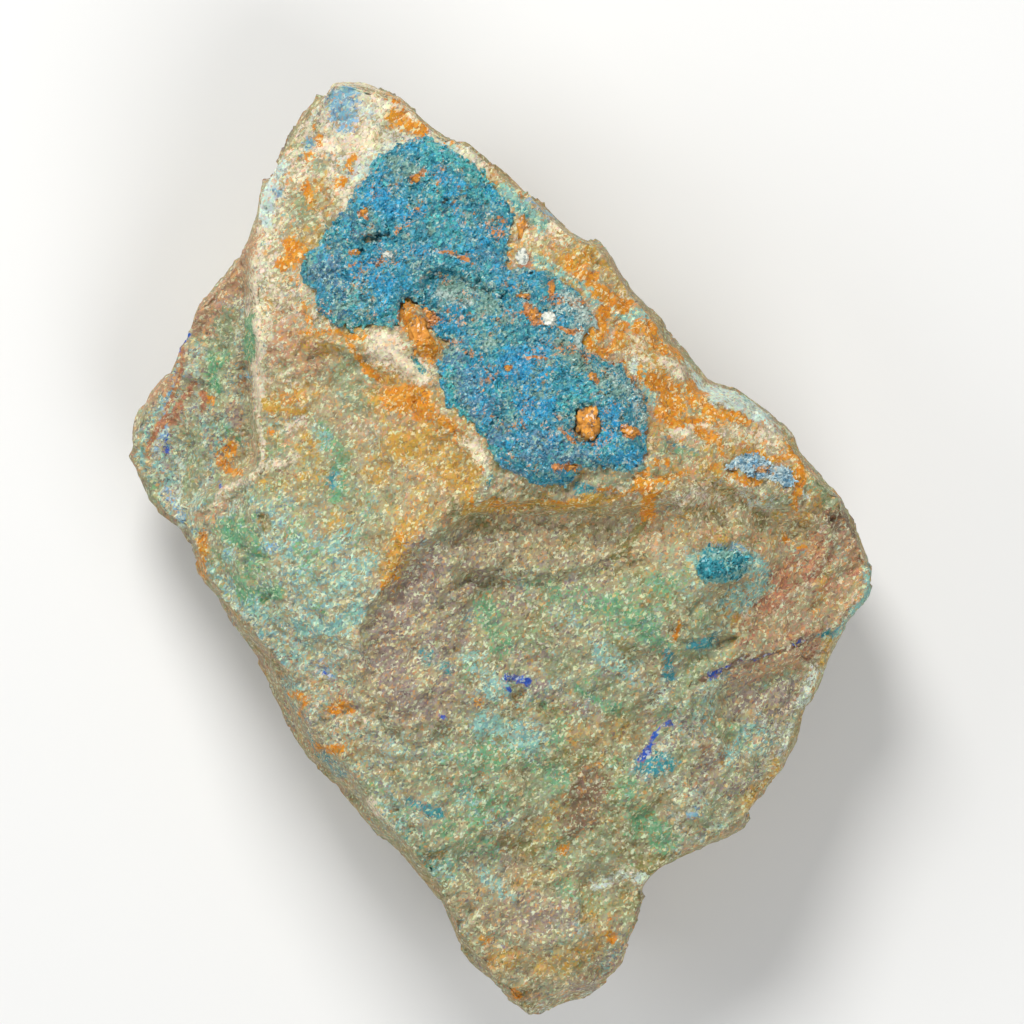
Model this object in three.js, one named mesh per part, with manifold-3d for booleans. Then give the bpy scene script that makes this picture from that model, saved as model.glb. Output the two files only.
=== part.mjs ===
// Caledonite on its host rock: a hand-sized broken piece of altered, rust-stained rock. It carries a crust of
// small blue crystals across the upper part of its front face, and two small patches of the same growth.
// It lies on its back with the front face up. Millimetres, +Z up, +Y towards the thin upper end of the piece.
// The origin is the middle of the whole piece seen from above, at the surface that it rests on.
import * as THREE from "three";
import { mergeVertices } from "three/addons/utils/BufferGeometryUtils.js";
import { ConvexHull } from "three/addons/math/ConvexHull.js";
import { ImprovedNoise } from "three/addons/math/ImprovedNoise.js";
import Module from "manifold-3d";

const wasm = await Module();
wasm.setup();

// Mesh fineness: spacing of the corners on the front, on the back and round the edge, and rows up the sides.
const FRONT_SPACING = 1.75;
const BACK_SPACING = 3.2;
const EDGE_SPACING = 1.9;
const SIDE_ROWS = 7;
// Fineness of the crusts, and the gap that they keep to the rock.
const CRUST_CELL = 1.6;
const CRUST_GAP = 0.3;

// The broken outline of the rock seen from the front, clockwise from the thin upper end.
const ROCK_OUTLINE = [
  [-18.8, 52.3], [-17.2, 52.4], [-14.4, 51.8], [-11.3, 50.4], [-7.7, 47.4], [-3.5, 45.4], [-0.2, 42.8],
  [4.3, 38.9], [7.8, 35.6], [10.9, 34.2], [14.5, 28.9], [17.6, 26.2], [20.9, 22.3], [23.4, 19.2],
  [26.5, 18.1], [30.1, 15.8], [32.6, 12.8], [33.3, 11.2], [38.2, 5.8], [39.1, 3.4], [41.3, -1.1],
  [41.5, -3.3], [40.7, -5.5], [38.7, -7.7], [36.8, -11.6], [35.6, -15.5], [33.7, -17.9], [32.4, -22.2],
  [31.5, -24.9], [27.6, -29.7], [22.1, -33.3], [17.6, -35.5], [16.1, -37.2], [15.2, -41.1], [13.7, -46.1],
  [9.8, -49.9], [4.3, -52.3], [2.9, -52.4], [0.4, -49.6], [-2.4, -46.8], [-5.2, -43.8], [-6.8, -39.7],
  [-10.7, -34.6], [-14.1, -31.6], [-17.9, -26.8], [-21.8, -23.1], [-23.7, -20.5], [-25.5, -15.5],
  [-27.9, -11.1], [-31.8, -5.5], [-34.1, -2.7], [-34.7, 0.4], [-35.7, 2.8], [-38.1, 4.2], [-39.6, 6.1],
  [-41.3, 10.6], [-41.3, 13.9], [-39.6, 17.8], [-37.4, 20.1], [-35.7, 23.9], [-34.1, 27.3], [-30.7, 30.9],
  [-28.5, 35.1], [-27.4, 37.6], [-26.6, 41.2], [-23.5, 45.9], [-21.1, 49.2],
];

// The blue crust's outline, clockwise from its upper end, and those of the two small patches.
const BLUE_CRUST_OUTLINE = [
  [-7.4, 46.0], [-4.6, 44.9], [-2.4, 43.0], [-0.6, 40.8], [2.1, 37.2], [1.3, 34.5], [1.3, 31.8], [5.3, 31.3],
  [8.4, 29.5], [11.6, 25.8], [9.8, 22.1], [13.7, 21.2], [16.7, 17.4], [16.4, 12.3], [16.5, 8.4], [12.6, 8.2],
  [8.4, 8.4], [8.1, 6.6], [5.4, 6.2], [2.1, 7.2], [-0.4, 8.3], [-3.1, 13.1], [-6.8, 15.4], [-7.8, 20.2],
  [-7.1, 22.1], [-8.5, 24.5], [-14.3, 24.1], [-18.8, 23.8], [-21.1, 27.6], [-23.1, 31.3], [-19.9, 34.6],
  [-16.5, 40.3], [-13.2, 44.6], [-10.1, 46.3],
];
const LEDGE_CRUST_OUTLINE = [
  [24.1, 9.5], [25.5, 10.9], [27.8, 10.9], [29.8, 10.1], [32.1, 9.2], [32.9, 7.8], [32.6, 6.3], [30.9, 6.9],
  [28.5, 7.9], [26.5, 8.4],
];
const SIDE_CRUST_OUTLINE = [
  [20.7, -1.6], [21.2, 0.1], [23.2, 0.6], [25.9, 0.3], [27.6, -0.5], [27.4, -2.4], [25.9, -3.3], [23.7, -3.8],
  [21.7, -3.5],
];
const BLUE_CRUST_THICKNESS = 1.2;
const PATCH_THICKNESS = 0.9;
const THIN_EDGE = 0.3; // share of its thickness that a crust has at its outline, and how far in it is full
const EDGE_TAPER = 2.4;
const CRUST_ROOT = 1.2; // how deep a crust's blanket reaches before the rock is cut out of it

// The main broken faces of the front, each a plane through a point with its slope along X and Y.
const FRONT_FACES = [
  { at: [-3.5, 11.2, 36.0], slope: [-0.06, -0.33] }, // upper face, under the blue crust
  { at: [15, 18, 31.0], slope: [-0.45, -0.38] }, // right shoulder
  { at: [0, 0, 34.0], slope: [-0.12, 0.24] }, // lower main face
  { at: [20, -12, 29.5], slope: [-0.5, 0.2] }, // lower right face
  { at: [-15, -6, 32.5], slope: [0.42, 0.1] }, // left face
  { at: [-28, -2, 26.5], slope: [1.1, 0.2] }, // bevel along the left edge
  { at: [-8, -38, 26.0], slope: [0.5, 0.35] }, // bevel along the lower left edge
];
const FACE_BLEND = 0.7;
// The thin flake that stands out to the left, lower than the rest, and the scarp that parts it off.
const FLAKE_FACE = { at: [-29.6, 22.3, 22.5], slope: [0.5, 0.1] };
const FLAKE_SCARP = [
  [-27.1, 40], [-27.2, 33.4], [-27.3, 27.8], [-27.1, 22.3], [-26.7, 16.7], [-26.5, 11.7], [-26.6, 8.9],
  [-29.1, 7.8], [-31.8, 6.3], [-33.9, 4.7], [-36, 2.2],
];
const FLAKE_SCARP_WIDTH = 1.4;

// Ledges: the face drops on the right-hand side of each line, over its width, and rises again over its run.
const LEDGES = [
  {
    name: "slope below the blue crust",
    line: [
      [-22.4, 23.9], [-17.4, 22.5], [-12.9, 22.1], [-8.5, 18.9], [-6.8, 15.6], [-2.4, 11.7], [-1.1, 6.7],
    ],
    drop: 1.8, width: 2.8, run: 26,
  },
  {
    name: "undercut below the blue crust",
    line: [[-6.8, 4.3], [-0.2, 5.4], [6.5, 5.2], [12.1, 5.0], [16.5, 6.0], [20.5, 7.7]],
    drop: 3.4, width: 1.5, run: 12,
  },
  {
    name: "undercut below the pale ledge crust",
    line: [[19.8, 7.4], [24.3, 7.8], [27.6, 6.4], [32.1, 4.3], [36.5, 2.9]],
    drop: 2.4, width: 1.4, run: 7,
  },
  {
    name: "small ledge in the hollow",
    line: [[-5.2, -1.7], [-0.2, -2.5], [3.2, -2.8], [6.5, -2.5], [10.9, -1.3], [12.7, 0.6]],
    drop: 1.3, width: 1.0, run: 9,
  },
  {
    name: "edge between the left and the lower face",
    line: [
      [-15.5, -15.4], [-15.5, -9.4], [-14.7, -6.3], [-13.1, -4.6], [-10.2, -0.3], [-5.2, 3.4], [-2.4, 5.1],
    ],
    drop: 2.0, width: 1.3, run: 20,
  },
  {
    name: "crack in the right face",
    line: [[21.6, -15.9], [26.5, -13.5], [32.1, -11.1], [36.5, -9.1], [40.4, -6.6]],
    drop: 2.3, width: 1.4, run: 13,
  },
  {
    name: "edge of the green plate",
    line: [[26.6, -3.5], [26.2, -8.9], [24.4, -12.1], [21.4, -13.4], [20.0, -16.5], [19.2, -21.9]],
    drop: 0.9, width: 1.1, run: 9,
  },
  {
    name: "broken lower tip",
    line: [[1.5, -50.9], [5.2, -49.9], [6.5, -48.3], [9.8, -47.7], [12.3, -46.4], [15.5, -44.4]],
    drop: 4.5, width: 1.6, run: 40,
  },
  {
    name: "step inside the blue crust",
    line: [[-9.5, 30.6], [-6.8, 31.3], [-4.6, 30.9], [-2.6, 29.2], [1.6, 28.4]],
    drop: 1.0, width: 0.8, run: 7,
  },
  {
    name: "fold along the flake",
    line: [
      [-30.4, 26.7], [-31.1, 22.3], [-31.6, 16.7], [-32.2, 12.8], [-33.5, 9.5], [-34.4, 6.7], [-35.1, 2.9],
    ],
    drop: 1.5, width: 1.6, run: 16,
  },
];
const LEDGE_TAPER = 0.14; // share of a ledge's length over which its ends die out

// Swells and hollows of the front face: place, half widths and height at the middle.
const SWELLS = [
  { at: [-26, -4], half: [8, 9], height: 1.6 }, // lower left swell
  { at: [-17.4, 48.4], half: [4, 3.6], height: -1.4 }, // dish near the upper end
  { at: [-17, 16.5], half: [7, 5], height: -1.3 }, // hollow in the left face
  { at: [6, 1.8], half: [8, 4], height: -0.8 }, // hollow under the undercut
  { at: [27, -1], half: [8, 6], height: 1.0 }, // swell around the right patch
  { at: [27, 4.0], half: [5, 1.8], height: -0.9 }, // groove under the pale ledge crust
  { at: [8, -27], half: [11, 8], height: 0.9 }, // swell low on the main face
  { at: [12, -38], half: [4, 3], height: -1.2 }, // notch above the lower tip
  { at: [-30, 14], half: [3, 7], height: -1.2 }, // trough in the flake
];
// Rusty lumps of the rock that come up through the blue crust: place, radius and height.
const RUSTY_LUMPS = [
  { at: [9.5, 13.9], radius: 0.95, height: 2.3 },
  { at: [-9.9, 25.9], radius: 1.3, height: 2.2 },
  { at: [-8.4, 22.9], radius: 1.6, height: 2.2 },
];

// Natural roughness: broad waves, finer waves and shallow scoops such as broken stone has.
const BROAD_WAVE = { length: 15, height: 1.5 };
const FINE_WAVE = { length: 5.5, height: 0.75 };
const SCOOP = { size: 8.5, depth: 1.3 };

// The back: a flat bed that the piece rests on, and the faces that rise from it to the edges.
const BACK_FACES = [
  { at: [12, 0, 0], slope: [0.22, 0.03] },
  { at: [-17, 0, 0], slope: [-0.3, -0.05] },
  { at: [0, 24, 0], slope: [-0.02, 0.25] },
  { at: [0, -26, 0], slope: [0.04, -0.24] },
];
const BACK_WAVE = { length: 13, height: 1.6 };
const REST_FLAT = { at: [-3, -2], radius: 6, fade: 7 }; // smooth part of the bed
const BACK_INSET = 3.6; // how far the back's edge lies inside the outline
const BACK_INSET_WAVE = 1.8;
const WIDEST_AT = 0.52; // share of the way up a side where the piece is widest, and how much that wanders
const WIDEST_WAVE = 0.3;
const SIDE_SCOOP = { size: 8.5, depth: 2.4 };
// Broken faces that cut the lower part of the sides: which way each looks, how far out it stands at the level
// given after them, and how much it leans in below that.
const SIDE_FACES = [
  { angle: 8, reach: 41.5, lean: 0.5 },
  { angle: 33, reach: 36, lean: 0.15 },
  { angle: 57, reach: 34.5, lean: 0.42 },
  { angle: 92, reach: 53, lean: 0.8 },
  { angle: 131, reach: 44, lean: 0.25 },
  { angle: 163, reach: 43.5, lean: 0.5 },
  { angle: 194, reach: 39, lean: 0.7 },
  { angle: 217, reach: 33, lean: 0.15 },
  { angle: 242, reach: 39.5, lean: 0.4 },
  { angle: 277, reach: 53, lean: 0.75 },
  { angle: 306, reach: 43, lean: 0.2 },
  { angle: 335, reach: 41, lean: 0.45 },
];
const SIDE_FACES_LEVEL = 17;
const BACK_EDGE_LEVEL = 5; // height for which the back's edge is found
// How far the front's edge lies inside the outline, and two stretches where the side shows from the front.
const FRONT_INSET = 0.8;
const SHOWN_SIDES = [
  { angle: 228, spread: 34, inset: 2.3 },
  { angle: 38, spread: 12, inset: 1.9 },
];

const noise = new ImprovedNoise();
const NOISE_LAYER = 3.7; // keeps the layers of noise apart

function smoothStep(from, to, value) {
  const t = Math.min(1, Math.max(0, (value - from) / (to - from)));
  return t * t * (3 - 2 * t);
}

function wave(x, y, z, { length, height }) {
  return height * noise.noise(x / length, y / length, z / length + NOISE_LAYER);
}

// A repeatable number from 0 to 1 for a cell of a square grid.
function cellRandom(i, j, which) {
  const s = Math.sin(i * 127.1 + j * 311.7 + which * 74.7) * 43758.5453;
  return s - Math.floor(s);
}

// Shallow bowls that meet in sharp ribs: the squared distance to the nearest of scattered points, in cells.
function bowls(u, v, w) {
  const [i0, j0, k0] = [u, v, w].map(Math.floor);
  let nearest = 1;
  for (let i = i0 - 1; i <= i0 + 1; i++) {
    for (let j = j0 - 1; j <= j0 + 1; j++) {
      for (let k = k0 - 1; k <= k0 + 1; k++) {
        const [du, dv, dw] = [1, 2, 5].map((n) => cellRandom(i + 17 * k, j - 29 * k, n));
        nearest = Math.min(nearest, (i + du - u) ** 2 + (j + dv - v) ** 2 + (k + dw - w) ** 2);
      }
    }
  }
  return nearest;
}

function scoops(x, y, { size, depth }) {
  const u = x / size + 0.5 * noise.noise(x / size, y / size, NOISE_LAYER);
  const v = y / size + 0.5 * noise.noise(y / size, x / size, 2 * NOISE_LAYER);
  return depth * (bowls(u, v, 0.5) - 0.3);
}

// Where a point lies beside a line of points: its distance, positive on the right-hand side of the way along,
// and the share of the line's length that it has reached.
function besideLine(x, y, line) {
  let best = Infinity;
  let found = null;
  let before = 0;
  for (let i = 0; i + 1 < line.length; i++) {
    const [ax, ay] = line[i];
    const dx = line[i + 1][0] - ax;
    const dy = line[i + 1][1] - ay;
    const length = Math.hypot(dx, dy);
    const t = Math.min(1, Math.max(0, ((x - ax) * dx + (y - ay) * dy) / (length * length)));
    const fx = x - (ax + t * dx);
    const fy = y - (ay + t * dy);
    const distance = Math.hypot(fx, fy);
    if (distance < best) {
      best = distance;
      const side = Math.sign((x - ax) * dy - (y - ay) * dx) || 1;
      found = { away: side * distance, reached: before + t * length };
    }
    before += length;
  }
  return { ...found, share: found.reached / before };
}

function planeHeight(x, y, { at, slope }) {
  return at[2] + slope[0] * (x - at[0]) + slope[1] * (y - at[1]);
}

function ledgeHeight(x, y, { line, drop, width, run }) {
  const { away, share } = besideLine(x, y, line);
  if (away <= 0) return 0;
  const strength = smoothStep(0, LEDGE_TAPER, share) * smoothStep(1, 1 - LEDGE_TAPER, share);
  const depth = away < width ? away / width : Math.max(0, 1 - (away - width) / run);
  return -drop * strength * depth;
}

function swellHeight(x, y, { at, half, height }) {
  const d = ((x - at[0]) / half[0]) ** 2 + ((y - at[1]) / half[1]) ** 2;
  return height * Math.exp(-d * 1.5);
}

// Height of the front face, without what grows on it.
function frontHeight(x, y) {
  const body = -FACE_BLEND * Math.log(
    FRONT_FACES.reduce((sum, face) => sum + Math.exp(-planeHeight(x, y, face) / FACE_BLEND), 0),
  );
  const scarp = besideLine(x, y, FLAKE_SCARP).away / FLAKE_SCARP_WIDTH;
  const onFlake = Math.min(1, Math.max(0, scarp));
  let z = body + (Math.min(body, planeHeight(x, y, FLAKE_FACE)) - body) * onFlake;
  for (const ledge of LEDGES) z += ledgeHeight(x, y, ledge);
  for (const swell of SWELLS) z += swellHeight(x, y, swell);
  return z + wave(x, y, 0, BROAD_WAVE) + wave(x, y, 1, FINE_WAVE) + scoops(x, y, SCOOP);
}

function lumpHeight(x, y) {
  return Math.max(
    ...RUSTY_LUMPS.map(({ at, radius, height }) => {
      const d = Math.hypot(x - at[0], y - at[1]) / radius;
      return height * Math.max(0, 1 - d ** 3);
    }),
  );
}

function backHeight(x, y) {
  const rise = Math.max(0, ...BACK_FACES.map((face) => planeHeight(x, y, face)));
  const fromFlat = Math.hypot(x - REST_FLAT.at[0], y - REST_FLAT.at[1]) - REST_FLAT.radius;
  const rough = wave(x, y, 7, BACK_WAVE) + wave(x, y, 5, FINE_WAVE);
  return Math.max(0, rise + rough * smoothStep(0, REST_FLAT.fade, fromFlat));
}

function frontInset(angle) {
  const degrees = THREE.MathUtils.euclideanModulo(THREE.MathUtils.radToDeg(angle), 360);
  return SHOWN_SIDES.reduce(
    (sum, side) => sum + side.inset * Math.exp(-(((degrees - side.angle) / side.spread) ** 2)),
    FRONT_INSET,
  );
}

function backInset(angle) {
  return BACK_INSET + BACK_INSET_WAVE * noise.noise(2 * Math.cos(angle), 2 * Math.sin(angle), NOISE_LAYER);
}

function widestAt(angle) {
  return WIDEST_AT + WIDEST_WAVE * noise.noise(1.5 * Math.cos(angle), 1.5 * Math.sin(angle), 4 * NOISE_LAYER);
}

// Points along a line or a closed outline, about the spacing apart, with its own corners among them.
function divided(line, spacing, closed) {
  const points = [];
  line.forEach(([ax, ay], i) => {
    if (!closed && i === line.length - 1) return points.push([ax, ay]);
    const [bx, by] = line[(i + 1) % line.length];
    const parts = Math.max(1, Math.round(Math.hypot(bx - ax, by - ay) / spacing));
    for (let k = 0; k < parts; k++) points.push([ax + ((bx - ax) * k) / parts, ay + ((by - ay) * k) / parts]);
  });
  return points;
}

function isInside(x, y, loop) {
  let inside = false;
  loop.forEach(([ax, ay], i) => {
    const [bx, by] = loop[(i + 1) % loop.length];
    if (ay > y !== by > y && x < ((bx - ax) * (y - ay)) / (by - ay) + ax) inside = !inside;
  });
  return inside;
}

// Points to fill a loop with even triangles: those given first, then a honeycomb that keeps clear of them.
// The shares of the spacing say how close a given point may come to the loop and to another given point, how
// close a point of the honeycomb may come to either, and how far it strays.
const GIVEN_TO_LOOP = 0.6;
const GIVEN_TO_GIVEN = 0.38;
const HONEYCOMB_CLEARANCE = 0.7;
const STRAY = 0.3;

function fillPoints(loop, spacing, given) {
  const points = [];
  const clearOf = (others, share) => ([x, y]) => others.every(
    ([a, b]) => Math.hypot(a - x, b - y) >= share * spacing,
  );
  for (const point of given) {
    const clear = clearOf(loop, GIVEN_TO_LOOP)(point) && clearOf(points, GIVEN_TO_GIVEN)(point);
    if (clear && isInside(...point, loop)) points.push(point);
  }
  const clearOfAll = clearOf([...loop, ...points], HONEYCOMB_CLEARANCE);
  const reach = Math.max(...loop.map(([x, y]) => Math.hypot(x, y)));
  const rowHeight = spacing * Math.sqrt(0.75);
  for (let j = -Math.ceil(reach / rowHeight); j * rowHeight < reach; j++) {
    for (let i = -Math.ceil(reach / spacing); i * spacing < reach; i++) {
      const x = (i + (j & 1) / 2 + STRAY * (cellRandom(i, j, 3) - 0.5)) * spacing;
      const y = j * rowHeight + STRAY * (cellRandom(i, j, 4) - 0.5) * spacing;
      if (isInside(x, y, loop) && clearOfAll([x, y])) points.push([x, y]);
    }
  }
  return points;
}

// Delaunay triangles of flat points: the underside of the convex hull of the points raised onto a bowl.
const BOWL_FLATNESS = 50;

function triangulated(points) {
  const raised = points.map(([x, y]) => new THREE.Vector3(x, y, (x * x + y * y) / BOWL_FLATNESS));
  raised.forEach((point, i) => (point.place = i));
  const underside = new ConvexHull().setFromPoints(raised).faces.filter((face) => face.normal.z < -1e-6);
  return underside.map((face) => [0, 1, 2].map((corner) => face.getEdge(corner).head().point.place));
}

// Lips and feet of the ledges, which the front's triangles follow so that the ledges are crisp.
function ledgePoints() {
  const lines = [{ line: FLAKE_SCARP, width: FLAKE_SCARP_WIDTH }, ...LEDGES];
  return lines.flatMap(({ line, width }) => {
    const lip = divided(line, FRONT_SPACING, false);
    const foot = lip.map(([x, y], i) => {
      const [ax, ay] = lip[Math.max(0, i - 1)];
      const [bx, by] = lip[Math.min(lip.length - 1, i + 1)];
      const length = Math.hypot(bx - ax, by - ay);
      return [x + (width * (by - ay)) / length, y - (width * (bx - ax)) / length];
    });
    return [...lip, ...foot];
  });
}

// Distance out along a direction at which the first of the leaning side faces is met at a height.
function sideFaceRadius(angle, z) {
  return Math.min(
    ...SIDE_FACES.map((face) => {
      const facing = Math.cos(angle - THREE.MathUtils.degToRad(face.angle));
      return facing < 0.3 ? Infinity : (face.reach - face.lean * Math.max(0, SIDE_FACES_LEVEL - z)) / facing;
    }),
  );
}

// Radius of a broken side, a share of the way up from the back's edge to the front's edge.
function sideRadius(radius, angle, up, z) {
  const widest = widestAt(angle);
  const [x, y] = [radius * Math.cos(angle), radius * Math.sin(angle)];
  const { size, depth } = SIDE_SCOOP;
  const open = Math.min(1, 3 * Math.abs(up - widest), 4 * (1 - up), 4 * up);
  const rough = open * depth * bowls(x / size, y / size, z / size);
  if (up > widest) return radius - frontInset(angle) * ((up - widest) / (1 - widest)) ** 2 - rough;
  const under = (widest - up) / widest;
  const free = radius - backInset(angle) * under ** 1.5;
  return free + (Math.min(free, sideFaceRadius(angle, z)) - free) * Math.min(1, 5 * under) - rough;
}

// The whole rock as one closed skin: the front, the back, and rows of corners round the sides between them.
function rockGeometry() {
  const edge = divided(ROCK_OUTLINE, EDGE_SPACING, true).reverse();
  const polar = edge.map(([x, y]) => ({ radius: Math.hypot(x, y), angle: Math.atan2(y, x) }));
  const loopAt = (up, z) => polar.map(({ radius, angle }) => {
    const r = sideRadius(radius, angle, up, z);
    return [r * Math.cos(angle), r * Math.sin(angle)];
  });
  const frontEdge = loopAt(1, 0);
  const backEdge = loopAt(0, BACK_EDGE_LEVEL);
  const corners = [];
  const triangles = [];
  const rows = [];
  for (let row = 0; row <= SIDE_ROWS; row++) {
    const up = row / SIDE_ROWS;
    rows.push(corners.length);
    polar.forEach(({ radius, angle }, k) => {
      const low = backHeight(...backEdge[k]);
      const high = frontHeight(...frontEdge[k]);
      const z = low + (high - low) * up;
      const r = sideRadius(radius, angle, up, up > 0 ? z : BACK_EDGE_LEVEL);
      corners.push([r * Math.cos(angle), r * Math.sin(angle), z]);
    });
  }
  const around = edge.length;
  for (let row = 0; row < SIDE_ROWS; row++) {
    for (let k = 0; k < around; k++) {
      const [a, b] = [rows[row] + k, rows[row] + ((k + 1) % around)];
      triangles.push([a, b, b + around], [a, b + around, a + around]);
    }
  }
  const face = (loop, first, spacing, given, height, turned) => {
    const inner = fillPoints(loop, spacing, given);
    const start = corners.length;
    inner.forEach(([x, y]) => corners.push([x, y, height(x, y)]));
    const flat = [...loop, ...inner];
    const place = (i) => (i < around ? first + i : start + i - around);
    for (const [i, j, k] of triangulated(flat)) {
      const [x, y] = [0, 1].map((axis) => (flat[i][axis] + flat[j][axis] + flat[k][axis]) / 3);
      if (isInside(x, y, loop)) triangles.push((turned ? [i, j, k] : [k, j, i]).map(place));
    }
  };
  const lumpyHeight = (x, y) => frontHeight(x, y) + lumpHeight(x, y);
  face(frontEdge, rows[SIDE_ROWS], FRONT_SPACING, ledgePoints(), lumpyHeight, false);
  face(backEdge, rows[0], BACK_SPACING, [REST_FLAT.at], backHeight, true);
  const geometry = new THREE.BufferGeometry();
  geometry.setAttribute("position", new THREE.Float32BufferAttribute(corners.flat(), 3));
  geometry.setIndex(triangles.flat());
  return geometry;
}

// A closed mesh without normals or texture coordinates, so that its shared corners can be merged.
function bareGeometry(geometry) {
  geometry.deleteAttribute("normal");
  geometry.deleteAttribute("uv");
  return mergeVertices(geometry, 1e-4);
}

function toSolid(geometry) {
  const bare = bareGeometry(geometry);
  return new wasm.Manifold(
    new wasm.Mesh({
      numProp: 3,
      vertProperties: new Float32Array(bare.getAttribute("position").array),
      triVerts: new Uint32Array(bare.index.array),
    }),
  );
}

function toGeometry(solid) {
  const { vertProperties, triVerts, numProp, numVert } = solid.getMesh();
  const points = new Float32Array(numVert * 3);
  for (let i = 0; i < numVert; i++) {
    points.set(vertProperties.subarray(i * numProp, i * numProp + 3), i * 3);
  }
  const geometry = new THREE.BufferGeometry();
  geometry.setAttribute("position", new THREE.BufferAttribute(points, 3));
  geometry.setIndex(new THREE.BufferAttribute(new Uint32Array(triVerts), 1));
  geometry.computeVertexNormals();
  return geometry;
}

// A blanket that follows the front face over a rectangle: its lumpy top thins out towards the crust's outline,
// and its underside lies in the rock. The lumps take the thickness between the two shares.
const LUMP_SIZE = 1.9;
const THINNEST = 0.7;
const THICKEST = 1.3;

function blanketGeometry(box, outline, thickness) {
  const size = box.getSize(new THREE.Vector2());
  const middle = box.getCenter(new THREE.Vector2());
  const cells = [Math.ceil(size.x / CRUST_CELL), Math.ceil(size.y / CRUST_CELL)];
  const blanket = new THREE.BoxGeometry(size.x, size.y, 2, cells[0], cells[1], 1);
  const place = blanket.getAttribute("position");
  for (let i = 0; i < place.count; i++) {
    const x = place.getX(i) + middle.x;
    const y = place.getY(i) + middle.y;
    const lump = 0.5 + 0.5 * noise.noise(x / LUMP_SIZE, y / LUMP_SIZE, 3 * NOISE_LAYER);
    const inside = isInside(x, y, outline) ? Math.abs(besideLine(x, y, [...outline, outline[0]]).away) : 0;
    const full = THIN_EDGE + (1 - THIN_EDGE) * smoothStep(0, EDGE_TAPER, inside);
    const top = CRUST_GAP + full * thickness * (THINNEST + (THICKEST - THINNEST) * lump);
    place.setXYZ(i, x, y, frontHeight(x, y) + (place.getZ(i) > 0 ? top : -CRUST_ROOT));
  }
  return blanket;
}

// A crust: the part of a blanket inside its outline that stands above the rock, as one closed solid.
const CUTTER_HEIGHT = 60;

function crustGeometry(outline, thickness, rockSolid) {
  const corners = outline.map(([x, y]) => new THREE.Vector2(x, y));
  const box = new THREE.Box2().setFromPoints(corners).expandByScalar(2);
  const shape = new THREE.Shape(corners.slice().reverse());
  const cutter = new THREE.ExtrudeGeometry(shape, { depth: CUTTER_HEIGHT, bevelEnabled: false, steps: 1 });
  const grown = toSolid(blanketGeometry(box, outline, thickness))
    .intersect(toSolid(cutter))
    .subtract(rockSolid.translate([0, 0, CRUST_GAP]));
  const pieces = grown.decompose().sort((p, q) => q.volume() - p.volume());
  return toGeometry(pieces[0]);
}

function part(name, geometry, color, roughness) {
  const material = new THREE.MeshStandardMaterial({ color, roughness, metalness: 0, flatShading: true });
  const mesh = new THREE.Mesh(geometry, material);
  mesh.name = name;
  return mesh;
}

const rockSolid = toSolid(rockGeometry());
const blueCrust = crustGeometry(BLUE_CRUST_OUTLINE, BLUE_CRUST_THICKNESS, rockSolid);
const ledgeCrust = crustGeometry(LEDGE_CRUST_OUTLINE, PATCH_THICKNESS, rockSolid);
const sideCrust = crustGeometry(SIDE_CRUST_OUTLINE, PATCH_THICKNESS, rockSolid);
const specimen = new THREE.Group();
specimen.add(
  part("host_rock", toGeometry(rockSolid), 0xa89a78, 0.92),
  part("caledonite_crust", blueCrust, 0x2f93b0, 0.45),
  part("ledge_crust", ledgeCrust, 0x9ec3d2, 0.7),
  part("side_crust", sideCrust, 0x5aa9a6, 0.6),
);

// The whole piece is centred over the origin, with its bed on the surface.
const box = new THREE.Box3().setFromObject(specimen);
const centre = box.getCenter(new THREE.Vector3());
specimen.position.set(-centre.x, -centre.y, -box.min.z);

export default specimen;
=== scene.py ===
# %% [markdown]
# # A caledonite specimen on its host rock
# The piece is a hand-sized lump of altered rock. Its upper front face carries a crust of small blue crystals, and
# the rest is mottled with iron stains, green and turquoise films and specks of azurite.
# The solids of the part are loaded first. They fix the size and the broad shape, and every finished piece starts
# as a refined copy of one of them, so nothing here has to be fitted afterwards.

# %% Load the frame
import math

import bmesh
import bpy
import numpy as np
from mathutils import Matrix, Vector, bvhtree, kdtree, noise


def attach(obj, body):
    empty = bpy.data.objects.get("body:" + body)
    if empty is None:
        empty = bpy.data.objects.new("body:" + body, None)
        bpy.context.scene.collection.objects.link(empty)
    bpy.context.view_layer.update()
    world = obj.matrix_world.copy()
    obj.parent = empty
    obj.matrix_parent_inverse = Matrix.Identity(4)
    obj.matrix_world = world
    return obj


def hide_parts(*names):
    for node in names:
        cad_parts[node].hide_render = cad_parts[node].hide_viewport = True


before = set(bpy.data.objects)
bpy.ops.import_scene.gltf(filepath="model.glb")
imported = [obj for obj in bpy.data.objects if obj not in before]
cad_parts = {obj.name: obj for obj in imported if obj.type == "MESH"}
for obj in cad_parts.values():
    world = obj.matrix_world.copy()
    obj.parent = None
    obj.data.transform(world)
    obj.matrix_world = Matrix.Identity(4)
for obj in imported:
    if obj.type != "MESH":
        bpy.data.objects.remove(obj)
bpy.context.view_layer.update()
MM = 0.001

# %% [markdown]
# ## Camera, floor and light
# The photograph looks straight at the front face, so the camera looks straight down on the piece, with its thin
# end up. A long lens far away keeps the outline as flat as the photograph shows it.
# The light is a large soft source beyond the thin end, with a weaker one from the left and a pale dome for the
# shadows. The plain view transform keeps the colours of the minerals as they are set.

# %% Camera
VIEW_CENTRE = Vector((1.15, 4.0, 22.0)) * MM
VIEW_WIDTH = 112.9 * MM
CAMERA_HEIGHT = 3.0

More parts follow.
